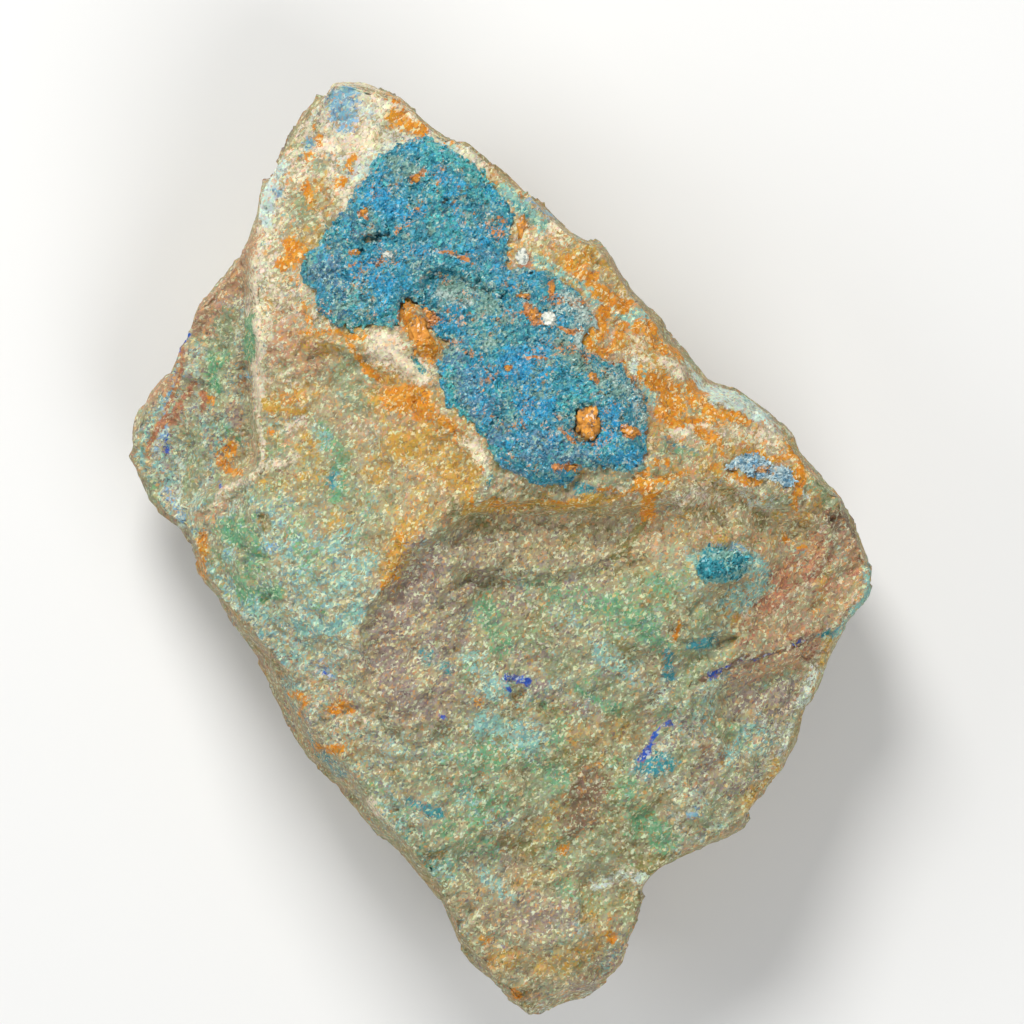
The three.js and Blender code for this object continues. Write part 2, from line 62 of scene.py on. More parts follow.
camera_data = bpy.data.cameras.new("camera")
camera_data.sensor_width = 36
camera_data.lens = camera_data.sensor_width * (CAMERA_HEIGHT - VIEW_CENTRE.z) / VIEW_WIDTH
camera_data.clip_start = 0.05
camera = bpy.data.objects.new("camera", camera_data)
camera.location = (VIEW_CENTRE.x, VIEW_CENTRE.y, CAMERA_HEIGHT)
bpy.context.scene.collection.objects.link(camera)
bpy.context.scene.camera = camera
bpy.context.scene.view_settings.view_transform = "Standard"
print("lens, mm:", round(camera_data.lens))

# %% Floor
floor_shape = bmesh.new()
bmesh.ops.create_grid(floor_shape, x_segments=1, y_segments=1, size=2.0)
floor_mesh = bpy.data.meshes.new("floor")
floor_shape.to_mesh(floor_mesh)
floor_shape.free()
floor = bpy.data.objects.new("floor", floor_mesh)
bpy.context.scene.collection.objects.link(floor)
floor_paint = bpy.data.materials.new("floor_paper")
floor_paint.use_nodes = True
floor_shader = floor_paint.node_tree.nodes["Principled BSDF"]
floor_shader.inputs["Base Color"].default_value = (0.8, 0.8, 0.79, 1)
floor_shader.inputs["Roughness"].default_value = 0.85
floor_mesh.materials.append(floor_paint)


# %% Lights
def soft_light(name, place, size, power, warmth=(1, 1, 1)):
    """An area light at a place, turned to the specimen."""
    lamp = bpy.data.lights.new(name, "AREA")
    lamp.shape = "DISK"
    lamp.size = size
    lamp.energy = power
    lamp.color = warmth
    holder = bpy.data.objects.new(name, lamp)
    holder.location = place
    holder.rotation_mode = "QUATERNION"
    holder.rotation_quaternion = (VIEW_CENTRE - Vector(place)).to_track_quat("-Z", "Y")
    bpy.context.scene.collection.objects.link(holder)
    return holder


soft_light("key_light", (-0.14, 0.52, 0.56), 0.30, 4.5, (1.0, 0.985, 0.96))
soft_light("side_light", (-0.75, 0.05, 0.50), 0.45, 1.9, (0.95, 0.98, 1.0))
soft_light("fill_light", (0.38, -0.55, 0.80), 0.70, 4.6)
world = bpy.data.worlds.new("pale_dome")
world.use_nodes = True
world.node_tree.nodes["Background"].inputs["Color"].default_value = (0.95, 0.97, 1.0, 1)
world.node_tree.nodes["Background"].inputs["Strength"].default_value = 0.28
bpy.context.scene.world = world

# %% [markdown]
# ## From a solid to a mesh fine enough for broken stone
# A solid's triangles are near 1.8 mm across. The copy is merged, and edges that are too long are halved in a few
# rounds, with a shorter limit on the front, which shows most. A triangle with two edges to halve gets its third
# halved too, so each one is parted in two or in four and stays well shaped. The corners are then eased a little.
# Numbers that belong to a point are kept in the mesh as named float attributes, which the materials read.


# %% Refined copies
REFINING_ROUNDS = 4


def refined_copy(node, front_length, other_length, easing):
    """A bmesh of a solid, with its corners merged and no edge longer than the limits, in mm."""
    shape = bmesh.new()
    shape.from_mesh(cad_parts[node].data)
    bmesh.ops.remove_doubles(shape, verts=shape.verts, dist=0.002 * MM)
    for _ in range(REFINING_ROUNDS):
        shape.normal_update()
        chosen = set()
        for edge in shape.edges:
            start, end = edge.verts
            facing_up = start.normal.z + end.normal.z > 0.5
            if edge.calc_length() > (front_length if facing_up else other_length) * MM:
                chosen.add(edge)
        waiting = list(chosen)
        while waiting:
            for face in waiting.pop().link_faces:
                left = [edge for edge in face.edges if edge not in chosen]
                if len(left) == 1:
                    chosen.add(left[0])
                    waiting.append(left[0])
        bmesh.ops.subdivide_edges(
            shape, edges=list(chosen), cuts=1, use_grid_fill=True, use_single_edge=True
        )
    for _ in range(easing):
        bmesh.ops.smooth_vert(
            shape, verts=shape.verts, factor=0.5, use_axis_x=True, use_axis_y=True, use_axis_z=True
        )
    bmesh.ops.triangulate(shape, faces=shape.faces)
    shape.normal_update()
    return shape


def points_and_normals(shape):
    """The points, in millimetres, and unit normals of a bmesh as arrays."""
    points = np.array([v.co for v in shape.verts]) / MM
    normals = np.array([v.normal for v in shape.verts])
    return points, normals


def finished_piece(name, shape, points, fields, smooth=True):
    """An object from a bmesh whose points have moved, with the fields as attributes of its points."""
    mesh = bpy.data.meshes.new(name)
    shape.to_mesh(mesh)
    shape.free()
    mesh.vertices.foreach_set("co", (points * MM).astype(np.float32).ravel())
    for label, values in fields.items():
        attribute = mesh.attributes.new(label, "FLOAT", "POINT")
        attribute.data.foreach_set("value", np.asarray(values, np.float32))
    mesh.polygons.foreach_set("use_smooth", [smooth] * len(mesh.polygons))
    mesh.update()
    piece = bpy.data.objects.new(name, mesh)
    bpy.context.scene.collection.objects.link(piece)
    print(name, "has", len(mesh.polygons), "triangles")
    return piece


# %% [markdown]
# ## Broken stone as a height
# A break in fine-grained rock is made of small tilted chips with short steps between them, on top of gentle
# waves. A Voronoi pattern gives the chips: each cell gets its own lean and its own level. The rock has a grain
# that runs from the lower left to the upper right, so the pattern is stretched along that direction.


# %% Chips and waves
GRAIN_DIRECTION = math.radians(48)
GRAIN_STRETCH = 1.35


def along_the_grain(points):
    """Points turned and squeezed, so that a pattern on them is longer along the rock's grain."""
    c, s = math.cos(GRAIN_DIRECTION), math.sin(GRAIN_DIRECTION)
    x, y, z = points.T
    return np.stack([(c * x + s * y) / GRAIN_STRETCH, c * y - s * x, z], axis=1)


def chips(points, size, lean, step):
    """Heights of a surface of small tilted chips. size is in mm, lean is a slope and step is in mm."""
    heights = np.empty(len(points))
    for i, point in enumerate(points / size):
        centre = noise.voronoi(point)[1][0]
        turn = noise.cell_vector(centre)
        away = (point - np.array(centre)) * size
        heights[i] = lean * (turn.x * away[0] + turn.y * away[1] + 0.5 * turn.z * away[2])
        heights[i] += step * (noise.cell(centre * 1.7) - 0.5)
    return heights


def waves(points, size, octaves, height):
    """Heights of soft waves with finer ones on them."""
    return height * np.array([noise.fractal(p, 0.9, 2.1, octaves) for p in points / size])


# %% [markdown]
# ## Lines and patches given one by one
# Cracks, small ledges and every patch of colour follow the real piece, so each is a short named line in
# millimetres with a half width. A single point makes a round patch. Points are shifted a little by noise before
# the distance to a line is taken, which gives each patch a ragged natural edge.


# %% Distances
def beside_line(points, line):
    """Distance in the plane from each point to a line, the side it is on, and the share of the line reached."""
    plane = points[:, :2]
    if len(line) == 1:
        return np.linalg.norm(plane - line[0], axis=1), np.zeros(len(plane)), np.full(len(plane), 0.5)
    best = np.full(len(plane), np.inf)
    side, share = np.zeros(len(plane)), np.zeros(len(plane))
    corners = np.array(line, float)
    lengths = np.linalg.norm(np.diff(corners, axis=0), axis=1)
    before = 0.0
    for start, end, length in zip(corners[:-1], corners[1:], lengths):
        way = (end - start) / length
        offset = plane - start
        reached = np.clip(offset @ way, 0, length)
        away = np.linalg.norm(offset - reached[:, None] * way, axis=1)
        closer = away < best
        best[closer] = away[closer]
        side[closer] = np.sign(offset[:, 0] * way[1] - offset[:, 1] * way[0])[closer]
        share[closer] = ((before + reached) / lengths.sum())[closer]
        before += length
    return best, side, share


def smooth_step(low, high, values):
    t = np.clip((values - low) / (high - low), 0, 1)
    return t * t * (3 - 2 * t)


def ragged(points, size, reach):
    """Points shifted sideways by up to about the reach, for ragged outlines."""
    shift = np.array([noise.noise_vector(p) for p in points / size])
    return points + reach * shift * (1, 1, 0)


# %% Fine ledges and pits of the rock
# Each ledge drops on the right-hand side of its way and rises again over its run: line, drop, width and run.
FINE_LEDGES = {
    "lip of the undercut": ([(-6.2, 4.4), (-1, 5.2), (6, 5), (12, 4.8), (18, 6.8)], 0.5, 0.5, 3.0),
    "block under the crust, right": ([(-9.4, 22.6), (-8.2, 19.6), (-9.8, 16.8)], 0.7, 0.5, 3.0),
    "block under the crust, left": ([(-17.2, 20.6), (-15.4, 19.4), (-13.4, 17.2), (-11.2, 16.4)], -0.6, 0.5, 3.5),
    "step below the orange": ([(-14.2, 14.6), (-12.4, 10.4), (-8.8, 7.2), (-4.8, 6.2)], 0.45, 0.5, 4.0),
    "crest of the swell": ([(-33.2, 4.6), (-28.6, 7.2), (-24.2, 9.2), (-21.6, 11.2)], 0.7, 0.8, 4.0),
    "ridge to the hollow": ([(-14.6, -6.2), (-11.2, -1.2), (-8.8, 1.8), (-6.2, 4.2)], 0.5, 0.6, 4.0),
    "ledge in the hollow": ([(-5.4, -1.9), (-2, -2.4), (0.4, -1.8), (4, -2.6), (6.8, -2.4)], 0.5, 0.4, 2.5),
    "fold right of the hollow": ([(12.6, -0.8), (14.2, 1.2), (16.2, 3.4)], 0.7, 0.7, 3.0),
    "ledge under the pale crust": ([(21.6, 6.2), (25.4, 5.8), (29.8, 3.2), (33.4, 1.6)], 0.5, 0.5, 3.0),
    "notch by the green plate": ([(22.2, -9.4), (24.6, -9.2), (26.6, -9.9)], 1.0, 0.35, 1.6),
    "edge of the green plate": ([(26.6, -10.4), (24, -12.4), (21.4, -13.2), (20.2, -16.6)], 0.5, 0.4, 2.5),
    "crack in the right face": ([(22.6, -13.6), (27.2, -12.4), (32, -10.6), (36, -9.3)], 0.6, 0.3, 1.6),
    "ridge below the green vein": ([(8.6, -15.8), (12.4, -17.8), (15.6, -20.6), (18.2, -24)], 0.35, 0.5, 3.0),
    "edge of the lower face": ([(-15.2, -20.4), (-15.4, -13.6), (-15.4, -8.6)], 0.5, 0.5, 4.0),
    "edge of the rusty step": ([(-20.8, -17.4), (-17.6, -17.2), (-14.8, -16.4)], 0.5, 0.5, 2.5),
    "step above the tip": ([(-6, -32.4), (0, -33.4), (6, -35), (12, -35.6)], 0.45, 0.6, 4.0),
    "edge of the tip": ([(-6.4, -41.6), (-3, -45.2), (1.2, -48.8), (6, -48)], 0.8, 0.5, 3.0),
    "crease of the upper end": ([(-20.8, 48.8), (-20.4, 47), (-19, 45)], 0.5, 0.4, 2.0),
    "fold of the flake": ([(-28.6, 25.6), (-30.2, 20.4), (-30.4, 15.2), (-31.2, 11)], 0.5, 0.5, 3.0),
    "step low on the flake": ([(-36.6, 16.4), (-34, 13.2), (-33.6, 8.4)], 0.4, 0.5, 3.0),
    "rim of the right shoulder": ([(17.2, 25.4), (20.6, 20.6), (23.8, 17.4), (28.6, 15.4)], -0.4, 0.6, 3.0),
}
# Small dark holes: place, radius and depth.
PITS = {
    "pit in the left rim": ((-25.9, 37.4), 0.28, 0.7),
    "pit above it": ((-24.3, 41.1), 0.2, 0.5),
    "pits of the upper end": ((-14.8, 50.1), 0.22, 0.5),
    "hole in the knob, left": ((36.4, 3.3), 0.42, 1.0),
    "hole in the knob, right": ((37.9, 3.8), 0.36, 0.9),
    "hole in the knob, top": ((37.2, 4.6), 0.3, 0.8),
    "pit in the swell": ((-26.4, 3.6), 0.5, 0.6),
    "pit low on the right": ((33.8, -25.2), 0.35, 0.6),
    "pit at the brown patch": ((5.8, -33.2), 0.35, 0.6),
}


def ledge_heights(points, ledges):
    """Heights that the fine ledges add."""
    heights = np.zeros(len(points))
    for line, drop, width, run in ledges.values():
        away, side, share = beside_line(points, line)
        below = away * (side * np.sign(drop) > 0)
        depth = np.minimum(below / width, np.clip(1 - (below - width) / run, 0, 1))
        ends = smooth_step(0, 0.15, share) * smooth_step(1, 0.85, share)
        heights -= abs(drop) * ends * depth
    return heights


def pit_heights(points, pits):
    """Depths of the small holes."""
    heights = np.zeros(len(points))
    for place, radius, depth in pits.values():
        heights -= depth * smooth_step(1.3, 0.6, np.linalg.norm(points[:, :2] - place, axis=1) / radius)
    return heights


# %% [markdown]
# ## The minerals that colour the rock
# Each mineral has a pale and a deep tone, which its grains share out between them.

# %% Tones of the minerals
TONES = {  # pale and deep tone, as screen colours from 0 to 255
    "chalk": ((252, 242, 216), (218, 200, 164)),
    "mint": ((228, 240, 230), (178, 206, 196)),
    "sage": ((184, 192, 154), (112, 128, 90)),
    "green": ((138, 194, 148), (74, 136, 98)),
    "turquoise": ((178, 218, 204), (100, 164, 152)),
    "teal": ((84, 178, 182), (30, 118, 130)),
    "sky": ((160, 202, 216), (102, 160, 190)),
    "limonite": ((240, 168, 56), (200, 118, 16)),
    "ochre": ((226, 184, 88), (180, 132, 42)),
    "tan": ((208, 172, 136), (160, 122, 90)),
    "mauve": ((186, 170, 156), (118, 104, 92)),
    "umber": ((158, 134, 108), (106, 84, 66)),
    "rust": ((200, 146, 110), (156, 96, 68)),
    "azurite": ((44, 116, 220), (44, 56, 150)),
    # The olive tone is an olive-brown colour of the rock and is also laid as painted shade under ledges and in hollows.
    "olive_and_shade": ((160, 152, 92), (104, 96, 48)),
}

# %% [markdown]
# Between the patches the ground is a mixture that changes from one part of the face to another: creamy with iron
# stains near the top, grey and brown in the hollow, green below. Each region is a line with a reach in
# millimetres, and the share of each mineral there.

# %% Mixture of each region
REGIONS = {
    "upper end": ([(-16.9, 49.8), (-12.4, 46.4)], 4, {
        "chalk": 0.92, "mint": 0.42, "sage": 0.1, "turquoise": 0.16, "limonite": 0.1, "tan": 0.08}),
    "left band": ([(-24.1, 42), (-23.5, 24.2)], 3.5, {
        "chalk": 0.62, "mint": 0.22, "sage": 0.3, "turquoise": 0.18, "limonite": 0.3, "ochre": 0.22, "tan": 0.12}),
    "flake": ([(-30.2, 29.8), (-33.5, 18.7), (-34.6, 7.6)], 5, {
        "mint": 0.36, "sage": 0.5, "green": 0.32, "turquoise": 0.42, "sky": 0.12, "ochre": 0.12, "tan": 0.2,
        "mauve": 0.28}),
    "left face, upper": ([(-22.4, 19.8), (-13.5, 14.2)], 4.5, {
        "chalk": 0.3, "sage": 0.4, "turquoise": 0.15, "limonite": 0.08, "ochre": 0.36, "tan": 0.32, "olive_and_shade": 0.1}),
    "left face, lower": ([(-23.5, 9.8), (-14.6, 4.2)], 4.5, {
        "chalk": 0.1, "sage": 0.5, "green": 0.32, "turquoise": 0.26, "ochre": 0.32, "tan": 0.12, "olive_and_shade": 0.18}),
    "swell": ([(-30.2, 0.9), (-22.4, -8), (-18, -3.6)], 5, {
        "mint": 0.35, "sage": 0.38, "green": 0.44, "turquoise": 0.56, "sky": 0.16, "ochre": 0.13, "mauve": 0.1}),
    "orange strip": ([(-11.3, 17.6), (-6.9, 10.9), (-11.3, -1.3)], 2, {
        "chalk": 0.28, "limonite": 0.5, "ochre": 0.48, "tan": 0.28}),
    "left lower strip": ([(-23.5, -12.4), (-16.9, -23.6)], 4, {
        "chalk": 0.38, "mint": 0.24, "sage": 0.45, "turquoise": 0.28, "limonite": 0.14, "ochre": 0.24, "tan": 0.2,
        "mauve": 0.2}),
    "mauve hollow": ([(-8, -1.3), (-12.4, -11.3), (-11.3, -16.9)], 4.5, {
        "chalk": 0.2, "mint": 0.15, "sage": 0.45, "turquoise": 0.24, "mauve": 0.5, "umber": 0.1, "olive_and_shade": 0.15}),
    # The undercut's olive share is partly painted shade under the overhang.
    "undercut": ([(-3.5, 3.1), (13.1, 2)], 3.5, {
        "chalk": 0.3, "sage": 0.45, "ochre": 0.3, "tan": 0.25, "mauve": 0.25, "olive_and_shade": 0.28}),
    "face centre": ([(-2.4, -8), (13.1, -10.2)], 5, {
        "sage": 0.44, "green": 0.44, "turquoise": 0.4, "teal": 0.16, "mauve": 0.46, "umber": 0.22, "olive_and_shade": 0.36}),
    "face, lower left": ([(-11.3, -23.6), (-2.4, -28), (-8, -33.6)], 5, {
        "sage": 0.44, "green": 0.56, "turquoise": 0.46, "teal": 0.32, "mauve": 0.26, "umber": 0.2,
        "olive_and_shade": 0.26}),
    "face, lower middle": ([(3.1, -25.8), (13.1, -32.4)], 4.5, {
        "sage": 0.52, "green": 0.5, "turquoise": 0.2, "ochre": 0.24, "mauve": 0.22, "umber": 0.14, "olive_and_shade": 0.46}),
    "face, right": ([(10.9, -5.8), (19.8, -8)], 4.5, {
        "sage": 0.5, "green": 0.48, "turquoise": 0.36, "teal": 0.1, "ochre": 0.2, "tan": 0.1, "olive_and_shade": 0.3}),
    "rusty corner": ([(30.9, -5.8), (37.6, -1.3)], 4, {
        "chalk": 0.5, "sage": 0.35, "limonite": 0.24, "ochre": 0.38, "tan": 0.4, "rust": 0.36, "mauve": 0.12}),
    "lower right": ([(22, -16.9), (28.7, -21.3), (22, -28)], 5, {
        "chalk": 0.2, "mint": 0.4, "sage": 0.55, "green": 0.3, "turquoise": 0.3, "ochre": 0.15, "tan": 0.15,
        "mauve": 0.28, "umber": 0.08, "olive_and_shade": 0.12}),
    "tip": ([(-0.2, -39.1), (7.6, -45.8)], 5, {
        "chalk": 0.2, "mint": 0.12, "sage": 0.5, "turquoise": 0.25, "ochre": 0.3, "tan": 0.2, "mauve": 0.32,
        "olive_and_shade": 0.2}),
    "right shoulder": ([(6.5, 34.2), (16.5, 24.2), (26.5, 16.4), (35.4, 7.6)], 4, {
        "chalk": 0.42, "mint": 0.2, "sage": 0.25, "limonite": 0.36, "ochre": 0.4, "tan": 0.25}),
    "under the pale ledge": ([(16.5, 4.2), (30.9, 0.9)], 3.5, {
        "chalk": 0.36, "sage": 0.36, "green": 0.12, "turquoise": 0.12, "limonite": 0.12, "ochre": 0.4, "tan": 0.42,
        "olive_and_shade": 0.14}),
}


def region_shares(points):
    """The share of each mineral at each point, mixed from the regions near it."""
    total = np.full(len(points), 1e-9)
    shares = {mineral: np.zeros(len(points)) for mineral in TONES}
    for line, reach, mixture in REGIONS.values():
        weight = np.exp(-((beside_line(points, line)[0] / reach) ** 2)) + 1e-6
        total += weight
        for mineral, share in mixture.items():
            shares[mineral] += weight * share
    return {mineral: share / total for mineral, share in shares.items()}


# %% [markdown]
# The patches that stand out from the mixture come next: a name, the line, the half width in millimetres and how
# much of the ground the patch covers, from 0 to 1.

# %% Patches
PATCHES = {}


# %% Chalky cream
PATCHES["chalk"] = [
    ("cream upper end", [(-17.4, 50.7), (-11.3, 48.7)], 2.4, 0.9),
    ("cream under the pale blue spot", [(-19.1, 44.2), (-14.1, 45.3)], 1.6, 0.75),
    ("cream beside the orange specks", [(-19.1, 41.4), (-17.4, 38.7)], 1.2, 0.75),
    ("rim of the scarp", [(-26.6, 35.6), (-27.1, 28.7), (-27.1, 22), (-26.6, 16.4)], 0.8, 0.9),
    ("cream strip inside the rim", [(-25.2, 34.2), (-25.5, 26.4), (-24.1, 22)], 1.8, 0.62),
    ("white block under the blue crust", [(-13.4, 22.4), (-11, 20.8), (-9.2, 19.2)], 1.6, 1),
    ("cream lip at the lower corner", [(-3.7, 12), (-2.2, 9.2)], 1, 0.75),
    ("crest of the lower left swell", [(-32.4, 4.8), (-29.1, 7), (-25.2, 9.2), (-22.4, 10.3)], 0.6, 0.7),
    ("white grains above the tip", [(10.9, -33.6), (15.4, -36.9)], 1.1, 0.6),
    ("pale vein low on the left", [(-14.4, -28), (-11.9, -30.8)], 0.6, 0.7),
    ("cream edge of the tip", [(-5.7, -39.1), (-0.2, -46.3)], 0.8, 0.45),
    ("pale spot in the left face", [(-23.5, 13.1), (-22.4, 13.7)], 0.7, 0.6),
    ("cream under the undercut", [(19.8, 5.3), (26.5, 6.4)], 1.6, 0.5),
    ("cream right face rim", [(38.7, -4.7), (35.4, -11.3)], 1, 0.5),
    ("yellow cream of the shoulder", [(5.5, 35.6), (6.8, 34.2), (8.3, 33.1)], 0.89, 0.7),
    ("peach cream by the rim", [(13.1, 28.3), (14.5, 27.6)], 0.56, 0.85),
    ("cream between the webs", [(14.9, 22.6), (15.5, 21.1)], 0.89, 0.8),
    ("cream above the strong orange", [(17.6, 20.6), (19.5, 19.6)], 0.89, 0.8),
    ("cream below the strong orange", [(18.9, 12.7), (20.9, 12.9), (22.0, 13.3)], 0.56, 0.9),
    ("cream of the right corner", [(25.9, 13.1), (27.6, 12.6), (30.4, 12.0)], 1.0, 0.65),
    ("cream rim of the right corner", [(31.4, 13.8), (32.6, 12.2), (33.4, 10.7), (35.8, 8.2), (37.4, 6.4)], 0.61, 0.95),
    ("cream end of the right corner", [(38.9, 3.3), (39.8, 1.4)], 0.56, 0.85),
    ("crisp rim of the scarp", [(-26.6, 35.1), (-27.1, 29.8), (-26.9, 24.2), (-27.2, 18.7), (-26.6, 13.1), (-26.4, 9.2)], 0.29, 1.0),
    ("cream strip below the crust", [(10.5, 7.4), (13.1, 6.9), (15.9, 7.8)], 0.56, 0.75),
    ("white spot of the upper end", [(-14.4, 47.8), (-12.6, 46.7)], 0.67, 0.7),
    ("pale streak of the left face", [(-24.1, 19.2), (-22.4, 17.3)], 0.56, 0.6),
    ("pale streak under the mustard", [(-11.9, 10.3), (-8.5, 8.7), (-6.3, 6.7)], 0.67, 0.55),
]

# %% Mint white
PATCHES["mint"] = [
    ("pale mint strip on the left rim", [(-24.5, 42.2), (-25.7, 39.8), (-26, 36.2)], 1, 1),
    ("mint at the upper end", [(-16.3, 50.3), (-14.6, 47.6)], 1.3, 0.5),
    ("rim of the lower right face", [(34.5, -13.8), (33.1, -16.9)], 1.2, 0.75),
    ("pale area beside the right rim", [(31.5, -20.2), (30.4, -23.6)], 1, 0.5),
    ("pale area by the ledge", [(27, 6.4), (29.8, 4.8)], 1.1, 0.6),
    ("white veins on the flake", [(-30.7, 27.6), (-29.6, 23.1)], 1.1, 0.45),
    ("end facet of the tip", [(2, -50.8), (6.5, -51.3), (10.9, -49.1)], 1, 0.5),
    ("pale streak across the tip", [(9.8, -36.9), (15.4, -36)], 0.7, 0.7),
    ("thin pale rim of the shoulder", [(11.1, 33.8), (13.6, 30.9), (15.6, 27.6)], 0.33, 0.9),
    ("broken edge, upper", [(15.9, 27.6), (17.8, 25.6), (20.0, 23.6), (22.3, 21.2), (23.6, 19.4)], 0.78, 1.0),
    ("broken edge, wide part", [(20.9, 21.6), (22.4, 19.8), (23.4, 18.4)], 1.22, 1.0),
    ("broken edge, lower", [(22.1, 18.9), (23.8, 17.3), (26.3, 16.2), (28.7, 15.2), (30.6, 14.1)], 1.33, 1.0),
    ("broken edge, lower rim", [(25.9, 17.8), (28.7, 16.7), (30.9, 14.8), (32.4, 12.7)], 0.89, 0.9),
    ("pale bits between the webs", [(14.4, 20.9), (14.7, 18.9)], 0.56, 0.75),
    ("white bits of the right side", [(33.1, 5.8), (33.8, 5.3)], 0.33, 0.85),
    ("pale rim by the knob", [(37.9, 5.7), (39.4, 4.1)], 0.56, 0.9),
    ("pale facet under the pale crust", [(23.4, 7.8), (25.1, 7.3)], 0.67, 0.6),
    ("mint stripe of the flake", [(-35.5, 9.8), (-35.5, 2.4)], 0.33, 0.85),
    ("pale blue white of the upper end", [(-16.9, 50.7), (-18.2, 49.3)], 0.78, 0.65),
]

# %% Sage green rock
PATCHES["sage"] = [
    ("green grey in the speckled band", [(-22.4, 38.7), (-21.1, 35.9)], 1.3, 0.75),
    ("green grey near the upper end", [(-20, 42)], 0.9, 0.7),
    ("sage middle of the left face", [(-16.9, 19.2), (-15.5, 16.4)], 2.4, 0.8),
    ("sage lower in the left face", [(-18, 10.9), (-17.4, 6.4)], 2, 0.8),
    ("sage on the flake", [(-30.7, 25.3), (-31.1, 20.9), (-32.4, 16.4)], 1.8, 0.85),
    ("sage foot of the flake", [(-33.5, 12), (-34.1, 7.6)], 1.6, 0.8),
    ("sage below the crust corner", [(-8, 4.2), (-5.7, -1.3)], 1.3, 0.6),
    ("sage under the pale ledge", [(10.9, 7.6), (16.5, 8.1)], 1.2, 0.65),
    ("sage in the lower face", [(2, -10.2), (6.5, -12.4), (13.1, -16.9)], 2.9, 0.7),
    ("sage low in the lower face", [(4.3, -26.9), (10.9, -33.6)], 2.9, 0.75),
    ("sage green right of the vein", [(22, -5.8), (20.9, -11.3)], 2.4, 0.7),
    ("plate in the right face", [(22.6, -11.9), (19.8, -15.8)], 1.3, 0.85),
    ("sage near the lower rim", [(25.4, -24.7), (22, -30.2)], 2, 0.65),
    ("sage at the tip", [(6.5, -42.4), (7.6, -45.8)], 2.4, 0.55),
    ("sage along the lower left", [(-11.3, -23.6), (-6.9, -28)], 2.4, 0.6),
    ("pale sage at the right corner", [(34.8, 8.1)], 1, 0.6),
    ("sage beside the turquoise spot", [(12.3, 25.8)], 0.67, 0.6),
    ("sage of the upper shoulder", [(7.6, 33.9), (9.8, 33.3)], 0.78, 0.5),
    ("sage beside the strong orange", [(20.9, 15.1), (22.0, 15.6)], 0.56, 0.7),
    ("sage of the right side", [(33.8, 7.0), (35.4, 6.2), (36.1, 5.0)], 0.89, 0.85),
    ("facet under the pale crust", [(28.5, 6.4), (30.9, 5.1)], 1.0, 0.65),
]

# %% Green film
PATCHES["green"] = [
    ("green film in the left face", [(-19.6, 13.1), (-17.7, 9.8), (-18.2, 5.3)], 1.1, 0.62),
    ("green of the swell, upper", [(-29.6, 2), (-26.9, 0.3), (-28, -3)], 2, 0.72),
    ("green of the swell, middle", [(-22.4, 2), (-21.3, -1.3)], 1.6, 0.6),
    ("green of the swell, lower", [(-28, -5.2), (-25.2, -4.9)], 1.2, 0.85),
    ("green streak beside the scarp", [(-27.7, 25.1), (-27.9, 21.1)], 0.4, 0.9),
    ("green streak on the flake", [(-32.3, 21.1), (-31.9, 19.2), (-31.1, 17.6)], 0.6, 0.9),
    ("green patches low on the flake", [(-31.3, 13.3), (-29.6, 12)], 0.8, 0.65),
    ("green of the lower face", [(-2.4, -5.8), (-0.2, -10.2)], 1.6, 0.6),
    ("pale green plates", [(9.8, -5.8), (15.4, -8), (16.5, -10.2)], 2.2, 0.72),
    ("green under the turquoise", [(-3.5, -23.6), (2, -22.4), (6.5, -24.7)], 2.2, 0.65),
    ("green vein", [(7.8, -15.2), (9.3, -16.3), (12.9, -18.2)], 0.4, 0.8),
    ("green hollow above the lower rim", [(15.4, -30.2), (18.1, -32.4)], 2.2, 0.75),
    ("green low in the lower face", [(-5.7, -31.3), (-1.3, -33.6)], 1.6, 0.6),
    ("green above the tip", [(6.5, -37.4), (10.9, -39.1)], 1.6, 0.5),
    ("green at the right face", [(23.7, -19.7), (27, -20.8)], 1.1, 0.5),
    ("green below the strong orange", [(18.0, 11.2), (20.9, 10.3)], 0.67, 0.65),
    ("emerald streak of the flake", [(-30.3, 21.6), (-31.3, 20.0), (-32.4, 17.8)], 0.44, 0.95),
    ("emerald streak under the scarp", [(-27.5, 25.3), (-27.6, 22.9), (-27.4, 20.7)], 0.33, 0.95),
]

